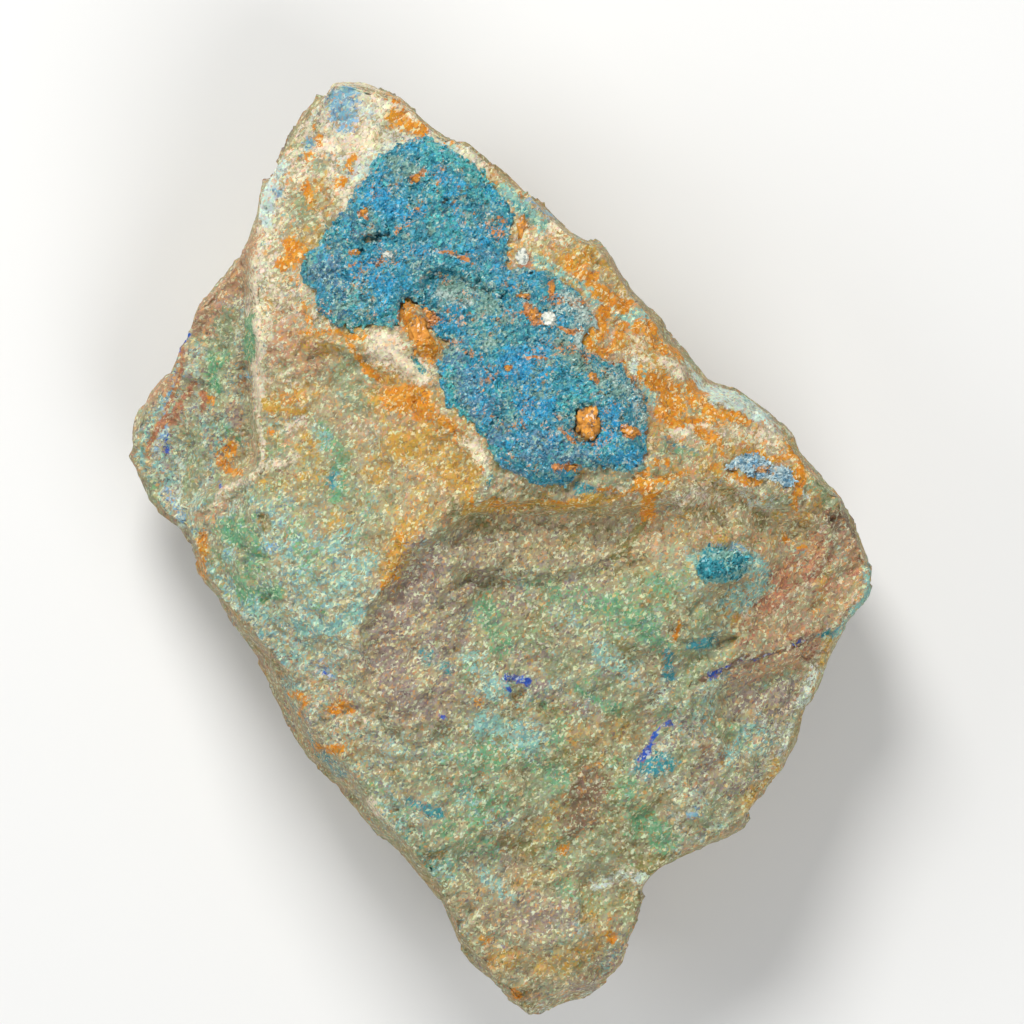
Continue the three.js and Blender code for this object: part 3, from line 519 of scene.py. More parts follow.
# %% Turquoise film
PATCHES["turquoise"] = [
    ("white turquoise of the swell", [(-22.4, -3), (-18, -3.6), (-14.6, -1.3)], 2, 0.62),
    ("bright turquoise of the swell", [(-21.9, -8.6), (-18.5, -9.1), (-16.3, -6.9)], 1.4, 0.85),
    ("pale turquoise under the swell", [(-27.4, -6.3), (-24.6, -10.2)], 1.1, 0.55),
    ("turquoise in the hollow of the swell", [(-26, 0.3), (-23.5, -0.8)], 1, 0.6),
    ("turquoise of the lower face, upper", [(-3.5, -11.9), (-0.2, -15.8)], 1.8, 0.7),
    ("turquoise of the lower face, lower", [(-1.3, -19.7), (3.1, -20.8)], 2, 0.85),
    ("pale turquoise right of the middle", [(10.9, -11.3), (14.3, -13.6)], 1.6, 0.6),
    ("turquoise beside the teal patch", [(25.9, -5.6), (28.7, -4.7)], 1.7, 0.7),
    ("turquoise below the right shoulder", [(15.4, 19.2), (16.5, 16.4)], 1, 0.65),
    ("turquoise rim of the right corner", [(40.7, -1.9), (40.1, -5.8), (38.1, -8.2), (35.9, -10.2)], 0.4, 0.95),
    ("turquoise specks of the right face", [(33.1, -1.3), (37, -1.3)], 1.6, 0.45),
    ("turquoise by the lower rim", [(26.5, -21.9), (28.7, -19.1)], 1.4, 0.5),
    ("turquoise under the crust corner", [(-11.3, -1.9), (-8, 0.3)], 0.8, 0.5),
    ("turquoise by the left edge, low", [(-23.5, -14.7), (-20.2, -15.8)], 1, 0.5),
    ("turquoise near the tip", [(-2.4, -35.8), (-0.2, -38)], 0.9, 0.6),
    ("turquoise spot of the shoulder", [(13.4, 26.0), (14.7, 25.1), (15.5, 25.6)], 0.83, 0.95),
    ("turquoise line inside the broken edge", [(17.0, 25.9), (18.5, 24.2), (19.8, 22.6)], 0.39, 0.85),
    ("turquoise glimmer of the broken edge", [(27.1, 16.2), (28.9, 15.6)], 0.44, 0.45),
    ("turquoise sage of the left face", [(-20.0, 13.1), (-18.4, 10.3), (-19.1, 7.6)], 1.44, 0.5),
    ("pale line beside the rust line", [(-35.6, 23.3), (-37.3, 16.2), (-39.1, 13.1), (-40.2, 9.6)], 0.28, 0.75),
    ("turquoise above the crack", [(24.5, -6.4), (26.7, -5.6), (28.4, -4.8)], 1.22, 0.6),
    ("halo of the teal crust", [(21.1, -0.9), (23.8, -0.0), (26.7, -0.9), (28.5, -2.7)], 1.11, 0.75),
    ("pale plate of the lower right", [(24.9, -22.7), (26.9, -21.6), (28.7, -22.0)], 1.11, 0.6),
    ("pale teal beside the neck", [(0.5, 39.3), (2.5, 37.4), (4.4, 35.8)], 1.0, 0.85),
    ("pale teal right of the neck", [(3.7, 31.8), (6.5, 30.3), (9.3, 28.4), (10.7, 27.0)], 0.67, 0.75),
]

# %% Teal
PATCHES["teal"] = [
    ("teal around the azure vein", [(15.9, -24.1), (17.6, -23.8)], 1.4, 0.9),
    ("teal specks of the lower face", [(-8, -11.9), (-5.7, -13.6)], 1.1, 0.5),
    ("teal specks under the mauve", [(-3.5, -8)], 0.9, 0.5),
    ("teal plate, right of the middle", [(18.1, -11.9), (18.7, -14.1)], 0.8, 0.75),
    ("teal spot by the notch", [(20.9, -10.4), (23.4, -10)], 0.7, 0.8),
    ("teal strip by the crust", [(-18.5, 8.4), (-18.9, 7)], 0.6, 0.7),
    ("teal beside the crust corner", [(8.1, 6.4), (9.8, 6.1)], 0.7, 0.85),
    ("teal at the crust corner", [(-1.1, 8.1), (-1.6, 7)], 0.4, 0.8),
    ("teal beside the white block", [(-9.5, 20.7), (-8.9, 19.6)], 0.4, 0.9),
    ("teal along the crack", [(25.9, -12.7), (28.7, -11.9)], 0.4, 0.65),
    ("blue green side wall, upper", [(-24.1, -15.8), (-22.4, -20.2), (-18, -24.7)], 0.8, 0.6),
    ("blue green side wall, lower", [(-14.6, -31.3), (-11.3, -36.9), (-6.9, -42.4)], 0.8, 0.5),
    ("teal specks below the strong orange", [(17.8, 12.2), (18.9, 11.7), (21.4, 10.7)], 0.28, 0.75),
    ("teal bits of the crack", [(25.6, -12.9), (27.1, -12.4)], 0.33, 0.7),
    ("teal end of the crack", [(33.7, -10.2), (35.9, -9.3), (37.8, -8.2)], 0.28, 0.7),
    ("small teal patch, low left", [(-10.6, -27.6), (-8.6, -28.1), (-6.7, -29.3)], 0.61, 0.72),
    ("teal specks beside the neck", [(1.1, 38.3), (3.5, 36.2)], 0.44, 0.55),
    ("teal specks right of the neck", [(5.6, 30.9), (8.7, 28.9)], 0.33, 0.5),
    ("teal specks below the crust", [(8.1, 6.2), (11.1, 6.0)], 0.33, 0.7),
]

# %% Pale blue
PATCHES["sky"] = [
    ("pale blue spot of the upper end", [(-17.4, 49.3), (-17.2, 47.6)], 1.4, 0.95),
    ("pale blue beside the crease", [(-21.2, 45)], 0.8, 0.75),
    ("pale blue in the mint strip", [(-24.6, 39.1)], 0.6, 0.8),
    ("pale blue of the swell", [(-25.4, -0)], 0.9, 0.6),
    ("pale blue of the upper shoulder", [(6.5, 37), (9.8, 34.2)], 0.7, 0.7),
    ("pale blue in the shoulder rim", [(3.1, 38.7), (6.5, 37)], 0.6, 0.7),
    ("pale blue under the swell", [(-19.6, -12.4), (-19.1, -13.8)], 0.7, 0.6),
    ("pale blue by the left edge of the flake", [(-36, 19.8), (-37.4, 14.2), (-38, 10.3)], 0.6, 0.55),
    ("pale blue foot of the flake", [(-37.4, 6.4), (-35.2, 3.7)], 0.6, 0.6),
    ("pale blue low on the right", [(21.4, -29.3)], 0.8, 0.7),
    ("blue streak in the shoulder rim", [(4.3, 37.7), (5.9, 36.8), (7.4, 36.0)], 0.44, 0.85),
    ("blue speck of the flake, upper", [(-34.4, 23.8)], 0.33, 0.85),
    ("blue speck of the flake, middle", [(-28.1, 19.2)], 0.33, 0.85),
    ("blue speck of the flake, lower", [(-30.6, 7.0)], 0.33, 0.85),
    ("blue speck by the left rim", [(-37.9, 13.1)], 0.33, 0.85),
    ("pale blue above the teal crust", [(24.5, 0.2), (26.5, -0.2)], 0.56, 0.7),
]

# %% Orange limonite
PATCHES["limonite"] = [
    ("orange of the upper end", [(-11.9, 47.6), (-9.1, 46.4)], 1, 0.95),
    ("orange edge of the upper end", [(-12.4, 50), (-9.6, 48.9)], 0.7, 0.7),
    ("orange crease", [(-20.7, 47.3), (-19.6, 44.6)], 0.3, 0.75),
    ("orange specks left of the crust, top", [(-16.1, 43.3), (-16.5, 41.8)], 0.4, 0.9),
    ("orange speck", [(-21, 43.4)], 0.6, 0.8),
    ("orange speck by the white grains", [(-17.6, 40)], 0.7, 0.7),
    ("orange speck in the speckled band", [(-21.9, 39.9), (-20.7, 38)], 0.6, 0.8),
    ("orange blotch in the speckled band", [(-23.4, 33.7), (-22.1, 32.4), (-23.7, 31.1)], 0.8, 0.9),
    ("orange specks under the band", [(-22.4, 27), (-21.3, 24.8)], 0.7, 0.6),
    ("orange line under the crust", [(-24.1, 23.3), (-19.1, 23.8), (-15.2, 23.3)], 0.4, 0.8),
    ("orange edge of the white block", [(-16.6, 22.6), (-15.1, 20.7), (-13.7, 18.7)], 0.4, 0.85),
    ("orange under the white block", [(-11.9, 16.7), (-9.1, 16.4), (-8.5, 14.8)], 1.4, 1),
    ("orange tail under the blue crust", [(-7.4, 14.2), (-5.2, 13.3)], 0.8, 0.8),
    ("orange speck at the lower corner", [(-2.4, 8.8)], 0.3, 0.9),
    ("orange below the lower corner", [(-3.7, 6.4), (-3, 5.1)], 0.4, 0.8),
    ("orange line above the hollow", [(-3.5, 4.8), (2, 5), (8.7, 5.3)], 0.4, 0.65),
    ("orange of the left face ridge", [(-10.7, 1.4), (-11.9, -1.3), (-12.6, -4.1)], 0.8, 0.8),
    ("orange in the left face", [(-25.7, 15.9), (-22.4, 17)], 0.8, 0.5),
    ("orange speck in the left face", [(-25.4, 13.1)], 0.4, 0.8),
    ("orange brown left edge", [(-32.6, 1.4), (-33.2, -1.3), (-32.9, -3.6)], 0.6, 0.65),
    ("orange streak, right of the middle", [(19.6, -7.8), (18.7, -10.4)], 0.3, 0.9),
    ("orange under the swell, left", [(-23, -15.8), (-21.3, -16.9), (-22.4, -18.2)], 0.4, 0.7),
    ("orange under the swell, right", [(-18.5, -17.8), (-16.9, -17.4)], 0.8, 0.8),
    ("orange low on the left", [(-20.2, -21.9), (-17.4, -21.9)], 0.7, 0.8),
    ("orange low in the lower face", [(-2.6, -16.9)], 0.7, 0.5),
    ("orange by the brown patch", [(10.9, -23.6)], 0.7, 0.6),
    ("orange below the brown patch", [(6.5, -33)], 0.7, 0.75),
    ("orange spot of the tip", [(12.1, -43)], 0.6, 1),
    ("orange streak of the tip", [(12.1, -41.1)], 0.3, 0.8),
    ("orange spot at the tip's left edge", [(1.5, -49.3)], 0.6, 0.8),
    ("orange tip, upper left", [(-1.9, -43)], 0.7, 0.55),
    ("orange brown of the flake", [(-30.2, 11.1), (-30.4, 9.6)], 0.9, 0.65),
    ("orange edge of the flake", [(-33, 16.7), (-31.9, 16)], 0.6, 0.6),
    ("orange band of the right shoulder", [(7.1, 31.8), (9.4, 32.0)], 0.78, 0.85),
    ("lower edge of that band", [(7.8, 30.9), (9.6, 29.8), (10.9, 28.1), (12.3, 27.3), (13.7, 26.7)], 0.72, 1.0),
    ("orange web beside the crust", [(11.5, 26.1), (10.7, 25.1), (11.3, 24.1), (9.8, 23.3), (9.9, 22.3), (11.4, 21.6)], 0.61, 0.95),
    ("orange web, second arm", [(13.4, 24.4), (13.0, 23.3), (12.4, 22.3)], 0.72, 0.9),
    ("orange web, outer arm", [(15.4, 24.4), (16.5, 23.9), (16.7, 22.6)], 0.78, 0.8),
    ("orange below the outer arm", [(16.7, 22.6), (17.8, 22.0), (19.3, 21.8), (19.6, 20.9)], 0.56, 0.9),
    ("orange speck between the webs", [(15.1, 19.7), (15.1, 18.4)], 0.33, 0.85),
    ("thin orange line", [(13.6, 20.7), (13.6, 19.3)], 0.22, 0.85),
    ("strong orange patch", [(17.0, 18.3), (18.5, 17.2), (19.0, 15.8)], 1.22, 1.0),
    ("strong orange patch, right side", [(20.9, 18.1), (20.9, 16.4)], 0.78, 0.95),
    ("strong orange patch, foot", [(17.6, 15.1), (18.9, 13.8)], 0.89, 0.9),
    ("orange arm under the broken edge", [(22.3, 16.6), (23.1, 15.4), (23.8, 14.7), (25.4, 14.6), (27.0, 14.4)], 0.56, 1.0),
    ("orange line back from the arm", [(23.4, 14.2), (22.0, 14.0), (20.9, 13.8), (18.7, 13.4)], 0.44, 0.9),
    ("orange below the arm", [(21.8, 12.7), (22.7, 12.2), (23.8, 11.9), (24.0, 10.9)], 0.61, 1.0),
    ("orange arc at the right", [(28.5, 10.7), (29.6, 10.2), (30.9, 9.9), (31.9, 10.2), (32.1, 11.3)], 0.44, 0.9),
    ("faint orange above the arc", [(30.8, 12.4), (31.7, 11.6)], 0.33, 0.5),
    ("orange down the right side", [(32.8, 9.6), (32.5, 8.1), (32.6, 6.4), (31.9, 5.3), (32.1, 4.4)], 0.5, 0.9),
    ("orange of the right rim", [(33.6, 10.0), (34.5, 8.4)], 0.33, 0.6),
    ("orange spot above the step", [(16.7, 9.4), (18.0, 9.6)], 0.56, 0.85),
    ("orange dash above the step", [(22.6, 9.1), (23.8, 8.9)], 0.33, 0.85),
    ("orange below the lower end of the crust", [(15.4, 7.8), (16.5, 6.4)], 0.89, 0.95),
    ("orange tail below the crust", [(16.3, 6.4), (15.9, 4.8), (16.0, 2.9)], 0.67, 0.95),
    ("orange to the left of the tail", [(15.4, 7.3), (13.4, 6.4), (12.3, 5.7)], 0.44, 0.7),
    ("orange rim of the step", [(17.0, 7.4), (19.3, 8.2), (21.7, 8.1)], 0.33, 0.8),
    ("orange under the pale crust", [(25.6, 8.0), (26.7, 7.1), (28.7, 7.0)], 0.44, 0.9),
    ("mustard spot in the right face", [(30.8, 1.8), (31.4, 0.9)], 0.44, 0.75),
    ("orange spot in the right face", [(32.4, 0.1), (33.4, 0.3)], 0.33, 0.75),
    ("orange notch of the right rim", [(36.5, 6.7), (37.4, 5.7)], 0.33, 0.65),
    ("orange spot on the foot of the flake", [(-30.7, 9.4), (-29.1, 8.4)], 0.44, 0.85),
    ("orange speck on the flake", [(-29.9, 10.9)], 0.33, 0.85),
    ("orange spot below the scarp", [(-25.4, 13.1)], 0.44, 0.85),
    ("rusty ground around the oval grain", [(9.3, 14.1)], 1.33, 1.0),
    ("rusty ground of the lumps", [(-10.2, 26.2), (-9.7, 24.8), (-8.4, 23.1), (-7.7, 21.8)], 1.22, 0.9),
    ("orange bits below the crust", [(10.9, 6.3), (12.3, 6.6)], 0.28, 0.8),
]

# %% Ochre
PATCHES["ochre"] = [
    ("ochre below the white block", [(-11.3, 11.79), (-6.9, 9.81), (-4.6, 7.6)], 2.4, 0.72),
    ("ochre band to the hollow", [(-8, 4.77), (-10.2, 0.81), (-12.4, -3)], 1.8, 0.59),
    ("ochre of the left face", [(-24.1, 16.29), (-21.3, 17)], 2, 0.45),
    ("ochre of the speckled band", [(-20.2, 39.78), (-19.1, 34.83), (-21.3, 34.2)], 2, 0.45),
    ("ochre under the crust", [(-22.4, 22.77), (-19.1, 22.6)], 1.3, 0.5),
    ("ochre over the hollow", [(-3.5, 4.5), (6.5, 4.77), (13.1, 5.7)], 0.6, 0.72),
    ("ochre of the right shoulder", [(6.5, 31.32), (9.8, 33.1)], 1.7, 0.5),
    ("yellow right of the web", [(15.4, 21.78), (13.1, 22.6)], 1.3, 0.45),
    ("ochre below the streak", [(20.9, 7.83), (24.3, 6.84), (22, 10.3)], 1.6, 0.45),
    ("ochre of the right corner", [(33.1, 2.79), (36.5, -5.8), (38.7, -2.4)], 1.8, 0.45),
    ("ochre lower right rim", [(36.5, -11.3), (34.8, -16.9), (32, -24.7)], 1, 0.45),
    ("yellow green at the lower rim", [(30.4, -25.8), (27.6, -28)], 1.6, 0.54),
    ("ochre low in the lower face", [(8.1, -21.3), (13.1, -20.2)], 1.8, 0.45),
    ("ochre around the brown patch", [(6.5, -28), (4.3, -31.3)], 1.6, 0.45),
    ("ochre of the tip", [(-0.2, -45.8), (6.5, -45.8), (10.9, -42.4)], 2, 0.45),
    ("ochre by the left edge", [(-33, -0.2)], 1.1, 0.54),
    ("ochre below the swell", [(-16.9, -21.3), (-12.4, -24.7)], 1.3, 0.36),
    ("peach of the right shoulder", [(10.6, 32.6), (12.5, 30.4), (14.3, 28.3)], 1.0, 0.55),
    ("yellow beside the neck", [(5.6, 35.1), (6.8, 34.2)], 0.44, 0.5),
    ("yellow web, lower", [(17.0, 20.9), (17.8, 19.6)], 0.56, 0.5),
    ("yellow among the lower face stains", [(19.8, 3.3), (20.9, 4.0)], 0.67, 0.5),
    ("mustard streaks of the left face", [(-26.3, 16.0), (-24.1, 15.3), (-22.1, 14.7)], 0.39, 0.95),
    ("yellow of the lower right rim", [(36.0, -10.2), (35.6, -13.0), (34.5, -15.8)], 0.56, 0.6),
    ("yellow low on the right", [(30.4, -24.2), (28.4, -26.7), (26.5, -28.2)], 1.11, 0.5),
    ("mustard under the crust, left", [(-22.4, 22.6), (-20.2, 21.8), (-18.0, 20.7)], 0.44, 0.7),
    ("mustard of the left face, middle", [(-22.4, 13.1), (-20.4, 11.3)], 0.56, 0.6),
    ("mustard of the left face, right", [(-14.4, 17.0), (-12.2, 12.0), (-13.5, 7.6)], 1.0, 0.55),
]

# %% Tan
PATCHES["tan"] = [
    ("brown pink top of the flake", [(-28.5, 33.1), (-30.7, 28.7), (-33, 25.3)], 1.9, 0.9),
    ("brown pink edge of the flake", [(-35.2, 22), (-37.4, 18.1), (-39.1, 16.4)], 1, 0.7),
    ("tan upper left face", [(-24.6, 22), (-21.3, 20.9), (-23.5, 24.2)], 2, 0.6),
    ("tan below the crest", [(-30.2, 5.3), (-33, 3.1)], 0.9, 0.5),
    ("tan right corner", [(38.1, 0.9), (38.7, -2.4), (36.5, -6.9)], 1.6, 0.6),
    ("tan above the crack", [(28.7, -10.2), (33.1, -8)], 1.3, 0.65),
    ("tan below the crack", [(26.5, -13.6), (32, -12.4)], 1.6, 0.6),
    ("peach of the right corner", [(28.1, 14.2), (30.0, 13.3)], 0.44, 0.5),
    ("tan top of the flake", [(-29.1, 34.4), (-29.5, 31.4), (-29.1, 28.7)], 1.33, 0.6),
]

# %% Brown mauve
PATCHES["mauve"] = [
    ("brown mauve of the lower face", [(-8, -1.9), (-11.3, -6.9), (-12.4, -12.4), (-10.2, -16.9)], 2.9, 0.7),
    ("mauve right of it", [(-4.6, -10.2), (-6.9, -15.8)], 2, 0.49),
    ("mauve beside the azurite", [(2, -13), (4.3, -11.3)], 1.6, 0.41),
    ("brown of the hollow", [(-1.3, 1.64), (4.3, -1.3), (9.8, -4.7)], 2.2, 0.4),
    ("mauve left of the teal patch", [(9.8, -4.7), (13.1, -1.3)], 1.6, 0.37),
    ("mauve of the right face", [(26.5, -15.8), (29.8, -18), (32, -15.8)], 2.2, 0.53),
    ("mauve near the lower rim", [(22, -24.7), (26.5, -26.9)], 2, 0.41),
    ("purple grey of the tip", [(-1.3, -40.2), (3.1, -41.3), (6.5, -40.2)], 1.8, 0.53),
    ("purple at the end facet", [(9.8, -48.6), (6.5, -47.4)], 0.8, 0.45),
    ("dark purple grey of the flake", [(-29.3, 15.09), (-28.9, 13.94), (-29.5, 15.3)], 0.9, 0.66),
    ("brown above the tip", [(-2.4, -33.6)], 1.3, 0.37),
    ("lavender grey of the flake", [(-30.6, 27.0), (-28.0, 27.2)], 0.67, 0.5),
]

# %% Umber
PATCHES["umber"] = [
    ("brown patch, upper", [(9.8, -26.3), (8.7, -28)], 2.2, 0.81),
    ("brown patch, lower", [(7.6, -30.2), (9.8, -29.7)], 1.4, 0.72),
    ("brown knob", [(37.4, 2.63), (38.5, 2.2)], 1, 0.77),
    ("dark specks by the azurite", [(4.3, -11.9), (2, -16.9)], 0.9, 0.42),
    ("brown low in the lower face", [(0.4, -33)], 1.4, 0.42),
    ("brown by the lower rim", [(22, -21.3), (23.7, -23.6)], 1, 0.42),
    ("brown ground of the knob", [(36.0, 3.6), (38.3, 2.9)], 0.89, 0.75),
    ("dark grey of the flake", [(-28.7, 19.3), (-29.1, 17.6)], 0.78, 0.45),
    ("crack of the left face", [(-24.9, 9.0), (-22.0, 8.3)], 0.14, 0.7),
    ("dark line of the crack", [(22.4, -14.4), (26.5, -12.4), (30.4, -11.3), (34.6, -9.8)], 0.34, 1.0),
]

# %% Rust red
PATCHES["rust"] = [
    ("rust red facet", [(33.1, -1.3), (30.9, -4.1), (29.3, -6.9)], 1.8, 0.6),
    ("red brown of the right face", [(35.9, 0.24), (34.3, -2.4)], 1.2, 0.48),
    ("dark red in the facet", [(32, -2.4), (30.4, -4.7)], 0.9, 0.64),
    ("rust streak of the flake", [(-34.4, 18.08), (-36, 14.48), (-36.9, 14.2)], 0.3, 0.64),
    ("rusty streak in the blue crust's rim", [(2.9, 28.08), (3.1, 31.8)], 0.7, 0.72),
    ("rusty grain, low left", [(-17.4, -15.8), (-18, -17.4)], 0.7, 0.4),
    ("brown dash in the cream corner", [(25.8, 11.6), (26.9, 11.3)], 0.28, 0.8),
    ("red facet of the right face", [(35.4, 0.9), (33.7, -0.9), (32.1, -2.8)], 0.89, 0.6),
    ("rust line of the flake", [(-34.9, 23.3), (-36.5, 15.9), (-38.3, 12.9), (-39.4, 9.2)], 0.24, 0.9),
    ("orange brown spot of the flake", [(-33.2, 16.9), (-33.2, 15.1)], 0.44, 0.85),
    ("red specks of the right face", [(39.6, -2.4), (37.4, -3.6), (34.8, -5.2)], 0.78, 0.5),
    ("brown low in the right face", [(32.0, -5.8), (28.7, -8.6), (26.5, -10.8)], 0.89, 0.42),
]

# %% Azurite
PATCHES["azurite"] = [
    ("azurite speck", [(0.7, -16)], 0.4, 0.8),
    ("azurite speck, lower", [(-6.4, -18.9)], 0.4, 0.8),
    ("violet streak of the flake", [(-34.3, 23.9), (-35.7, 22.6)], 0.4, 0.7),
    ("violet streak, lower", [(-37.3, 12.9), (-36.9, 10.9)], 0.3, 0.6),
    ("blue speck at the scarp", [(-30.7, 6.9)], 0.3, 0.8),
    ("blue wall, low left", [(-24.3, -16.9), (-23.5, -20.2)], 0.3, 0.7),
    ("blue speck at the swell", [(-19.1, -14.1)], 0.4, 0.6),
    ("blue specks of the tip", [(10.9, -49.1), (13.1, -48.6)], 0.4, 0.6),
    ("blue speck at the tip's left edge", [(0.3, -44.1)], 0.3, 0.8),
    ("azurite specks", [(0.4, -14.6), (1.6, -14.3), (2.9, -14.7)], 0.5, 0.85),
    ("azurite vein", [(17.1, -20.7), (16.3, -21.8), (15.3, -22.8)], 0.4, 1.0),
    ("azurite thread", [(18.5, -18.9), (17.8, -20.0), (17.1, -20.7)], 0.2, 0.8),
    ("blue of the crack", [(22.9, -14.1), (24.0, -13.3)], 0.44, 0.62),
    ("blue line of the crack", [(24.3, -13.2), (29.3, -11.6), (33.1, -10.3)], 0.18, 0.55),
]

# %% Olive, partly painted shade under ledges and in hollows
PATCHES["olive_and_shade"] = [
    # The patches of the hollow, under the ledges and at the foot of the step are painted shade; the others are
    # olive-brown stains.
    ("painted shade of the hollow", [(-2.4, 2.63), (4.3, 3.4), (10.9, 2.8), (15.4, 0.9)], 1.7, 0.3),
    ("painted shade under the pale ledge", [(20.9, 4.08), (28.7, 2.6)], 0.9, 0.42),
    ("painted shade in the fold under the ledge", [(12.6, -0.8), (13.7, 0.77), (15.4, 2.6)], 0.8, 0.55),
    ("olive low in the lower face", [(-0.2, -31.9), (3.1, -33.6)], 1.4, 0.55),
    ("olive by the lower rim", [(19.8, -34.1), (15.4, -34.7)], 0.8, 0.51),
    ("olive side of the tip", [(-5.2, -42.4), (-2.4, -47.4)], 0.7, 0.51),
    ("dark spots of the swell", [(-26.3, 3.15), (-25.7, 2.6)], 0.7, 0.51),
    ("dark olive speck", [(-14.7, 15.1)], 0.3, 0.77),
    ("dark line of the swell", [(-11.3, -4.7)], 0.6, 0.34),
    ("painted shadow at the foot of the step", [(23.7, 6.4), (26.5, 5.0), (29.3, 3.4)], 0.56, 0.55),
]


# %% Patch fields
def patch_field(points, patches):
    """How much of the ground a mineral covers at each point, from 0 to 1."""
    field = np.zeros(len(points))
    for _, line, half_width, cover in patches:
        away = beside_line(points, line)[0] / half_width
        softness = min(0.4 + 0.25 * half_width, 0.9)
        field = np.maximum(field, 1.05 * cover * smooth_step(1 + softness, 1 - softness, away))
    return field


print("patches:", {mineral: len(patches) for mineral, patches in PATCHES.items()})

# %% [markdown]
# ## The host rock
# The refined copy of the rock is moved along its normals: waves, chips of three sizes, then the fine ledges and
# pits on the front. The back and the sides don't show in the photograph, so they get the same break and a
# mottling by noise. The lowest points stay on the surface that the piece lies on.

# %% Rough rock
rock_shape = refined_copy("host_rock", 0.6, 1.15, 2)
rock_points, rock_normals = points_and_normals(rock_shape)
rock_grain = along_the_grain(rock_points)
front = smooth_step(0.1, 0.5, rock_normals[:, 2])
small_relief = chips(rock_grain, 1.9, 0.28, 0.14) + chips(rock_grain, 0.85, 0.32, 0.08)
small_relief *= 0.4 + 0.6 * smooth_step(0.3, 0.8, rock_normals[:, 2])
rock_rise = waves(rock_grain, 5.5, 4, 0.32) + chips(rock_grain, 4.6, 0.12, 0.28) + small_relief
rock_rise += chips(rock_points, 8.0, 0.1, 0.5) * (1 - front)
rock_rise *= 0.55 + 0.45 * smooth_step(0.2, 0.6, np.abs(rock_normals[:, 2]))
rock_points += rock_normals * rock_rise[:, None]
placed = ragged(rock_points, 2.2, 0.5)
rock_points[:, 2] += front * (ledge_heights(placed, FINE_LEDGES) + pit_heights(rock_points, PITS))
rock_points[:, 2] = np.maximum(rock_points[:, 2], 0.0)
print("rise of the break, mm:", round(rock_rise.min(), 2), "to", round(rock_rise.max(), 2))

# %% [markdown]
# The patches of the front run on over its edge for a few millimetres, as they do where the rock broke across
# them, so each steep point needs its depth below the nearest point of the front.


# %% Depth below the front
def depth_below_front(points, upness):
    """How far each steep point lies below the nearest point of the front, in millimetres."""
    flat = points * (1, 1, 0)
    search = kdtree.KDTree(int((upness > 0.5).sum()))
    for i in np.flatnonzero(upness > 0.5).tolist():
        search.insert(flat[i], i)
    search.balance()
    depths = np.zeros(len(points))
    for i in np.flatnonzero(upness <= 0.5).tolist():
        depths[i] = points[search.find(flat[i])[1], 2] - points[i, 2]
    return depths


# %% Where each mineral lies on the rock
HIDDEN_SHARES = {  # share of each mineral on the sides and the back
    "chalk": 0.25, "sage": 0.5, "green": 0.28, "turquoise": 0.2, "limonite": 0.12, "ochre": 0.32, "tan": 0.38,
    "mauve": 0.3, "umber": 0.12, "olive_and_shade": 0.25,
}
CLOUD_SIZE = 4.2
patch_points = ragged(ragged(rock_points, 3.0, 0.7), 0.9, 0.45)
shares = region_shares(patch_points)
below_front = depth_below_front(rock_points, rock_normals[:, 2]) + waves(rock_points, 2.5, 3, 1.6)
painted = smooth_step(-0.1, 0.1, rock_normals[:, 2]) * smooth_step(9.0, 5.5, below_front)
patch_fields = {mineral: painted * patch_field(patch_points, PATCHES[mineral]) for mineral in PATCHES}
covered = np.minimum(np.max(list(patch_fields.values()), axis=0), 1)
rock_fields = {}
for index, mineral in enumerate(PATCHES):
    clouds = waves(rock_points + 40 * index, CLOUD_SIZE, 3, 0.3)
    share = front * shares[mineral] + (1 - front) * HIDDEN_SHARES.get(mineral, 0)
    mixture = np.clip(share + clouds * np.minimum(share * 3, 1), 0, 0.8)
    rock_fields[mineral] = np.maximum(mixture * (1 - 0.8 * covered), patch_fields[mineral])
# Painted light and shade: the materials lighten the colour on raised chips and darken it on low ones by this field.
rock_fields["painted_shading"] = np.clip(0.5 + 0.9 * small_relief, 0, 1)
rock = finished_piece("host_rock_surface", rock_shape, rock_points, rock_fields)
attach(rock, "root")
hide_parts("host_rock")

# %% [markdown]
# ## Wiring materials
# The materials are node trees. A few short helpers place a node, feed its sockets with numbers or with other
# sockets, and give back what it puts out. Effects that several materials share are node groups.


# %% Wiring helpers
def screen(colour):
    """A screen colour from 0 to 255 as the linear colour that a shader reads."""
    linear = [c / 255 / 12.92 if c <= 10 else ((c / 255 + 0.055) / 1.055) ** 2.4 for c in colour]
    return (*linear, 1)


def wire(tree, kind, feeds=None, out=0, **settings):
    """Places a node, feeds its inputs and returns one of its outputs."""
    node = tree.nodes.new("ShaderNode" + kind)
    for key, value in settings.items():
        setattr(node, key, value)
    for key, value in (feeds or {}).items():
        if isinstance(value, bpy.types.NodeSocket):
            tree.links.new(value, node.inputs[key])
        else:
            node.inputs[key].default_value = value
    return node.outputs[out]


def maths(tree, operation, *values):
    return wire(tree, "Math", dict(enumerate(values)), operation=operation)


def mixed(tree, share, first, second, blend="MIX"):
    """Two colours mixed by a share from 0 to 1."""
    feeds = {0: share, 6: first, 7: second}
    return wire(tree, "Mix", feeds, 2, data_type="RGBA", blend_type=blend)


def eased(tree, value, low, high):
    """0 under low, 1 over high, with a soft change between them."""
    feeds = {"Value": value, "From Min": low, "From Max": high}
    return wire(tree, "MapRange", feeds, interpolation_type="SMOOTHSTEP")


def attribute(tree, name):
    return wire(tree, "Attribute", out=2, attribute_name=name)


def new_group(name, inputs, outputs):
    """An empty node group. inputs and outputs say each socket's name, kind and default value."""
    group = bpy.data.node_groups.new(name, "ShaderNodeTree")
    for direction, sockets in (("INPUT", inputs), ("OUTPUT", outputs)):
        for label, kind, default in sockets:
            socket = group.interface.new_socket(label, in_out=direction, socket_type="NodeSocket" + kind)
            if default is not None:
                socket.default_value = default
    return group, group.nodes.new("NodeGroupInput").outputs, group.nodes.new("NodeGroupOutput").inputs


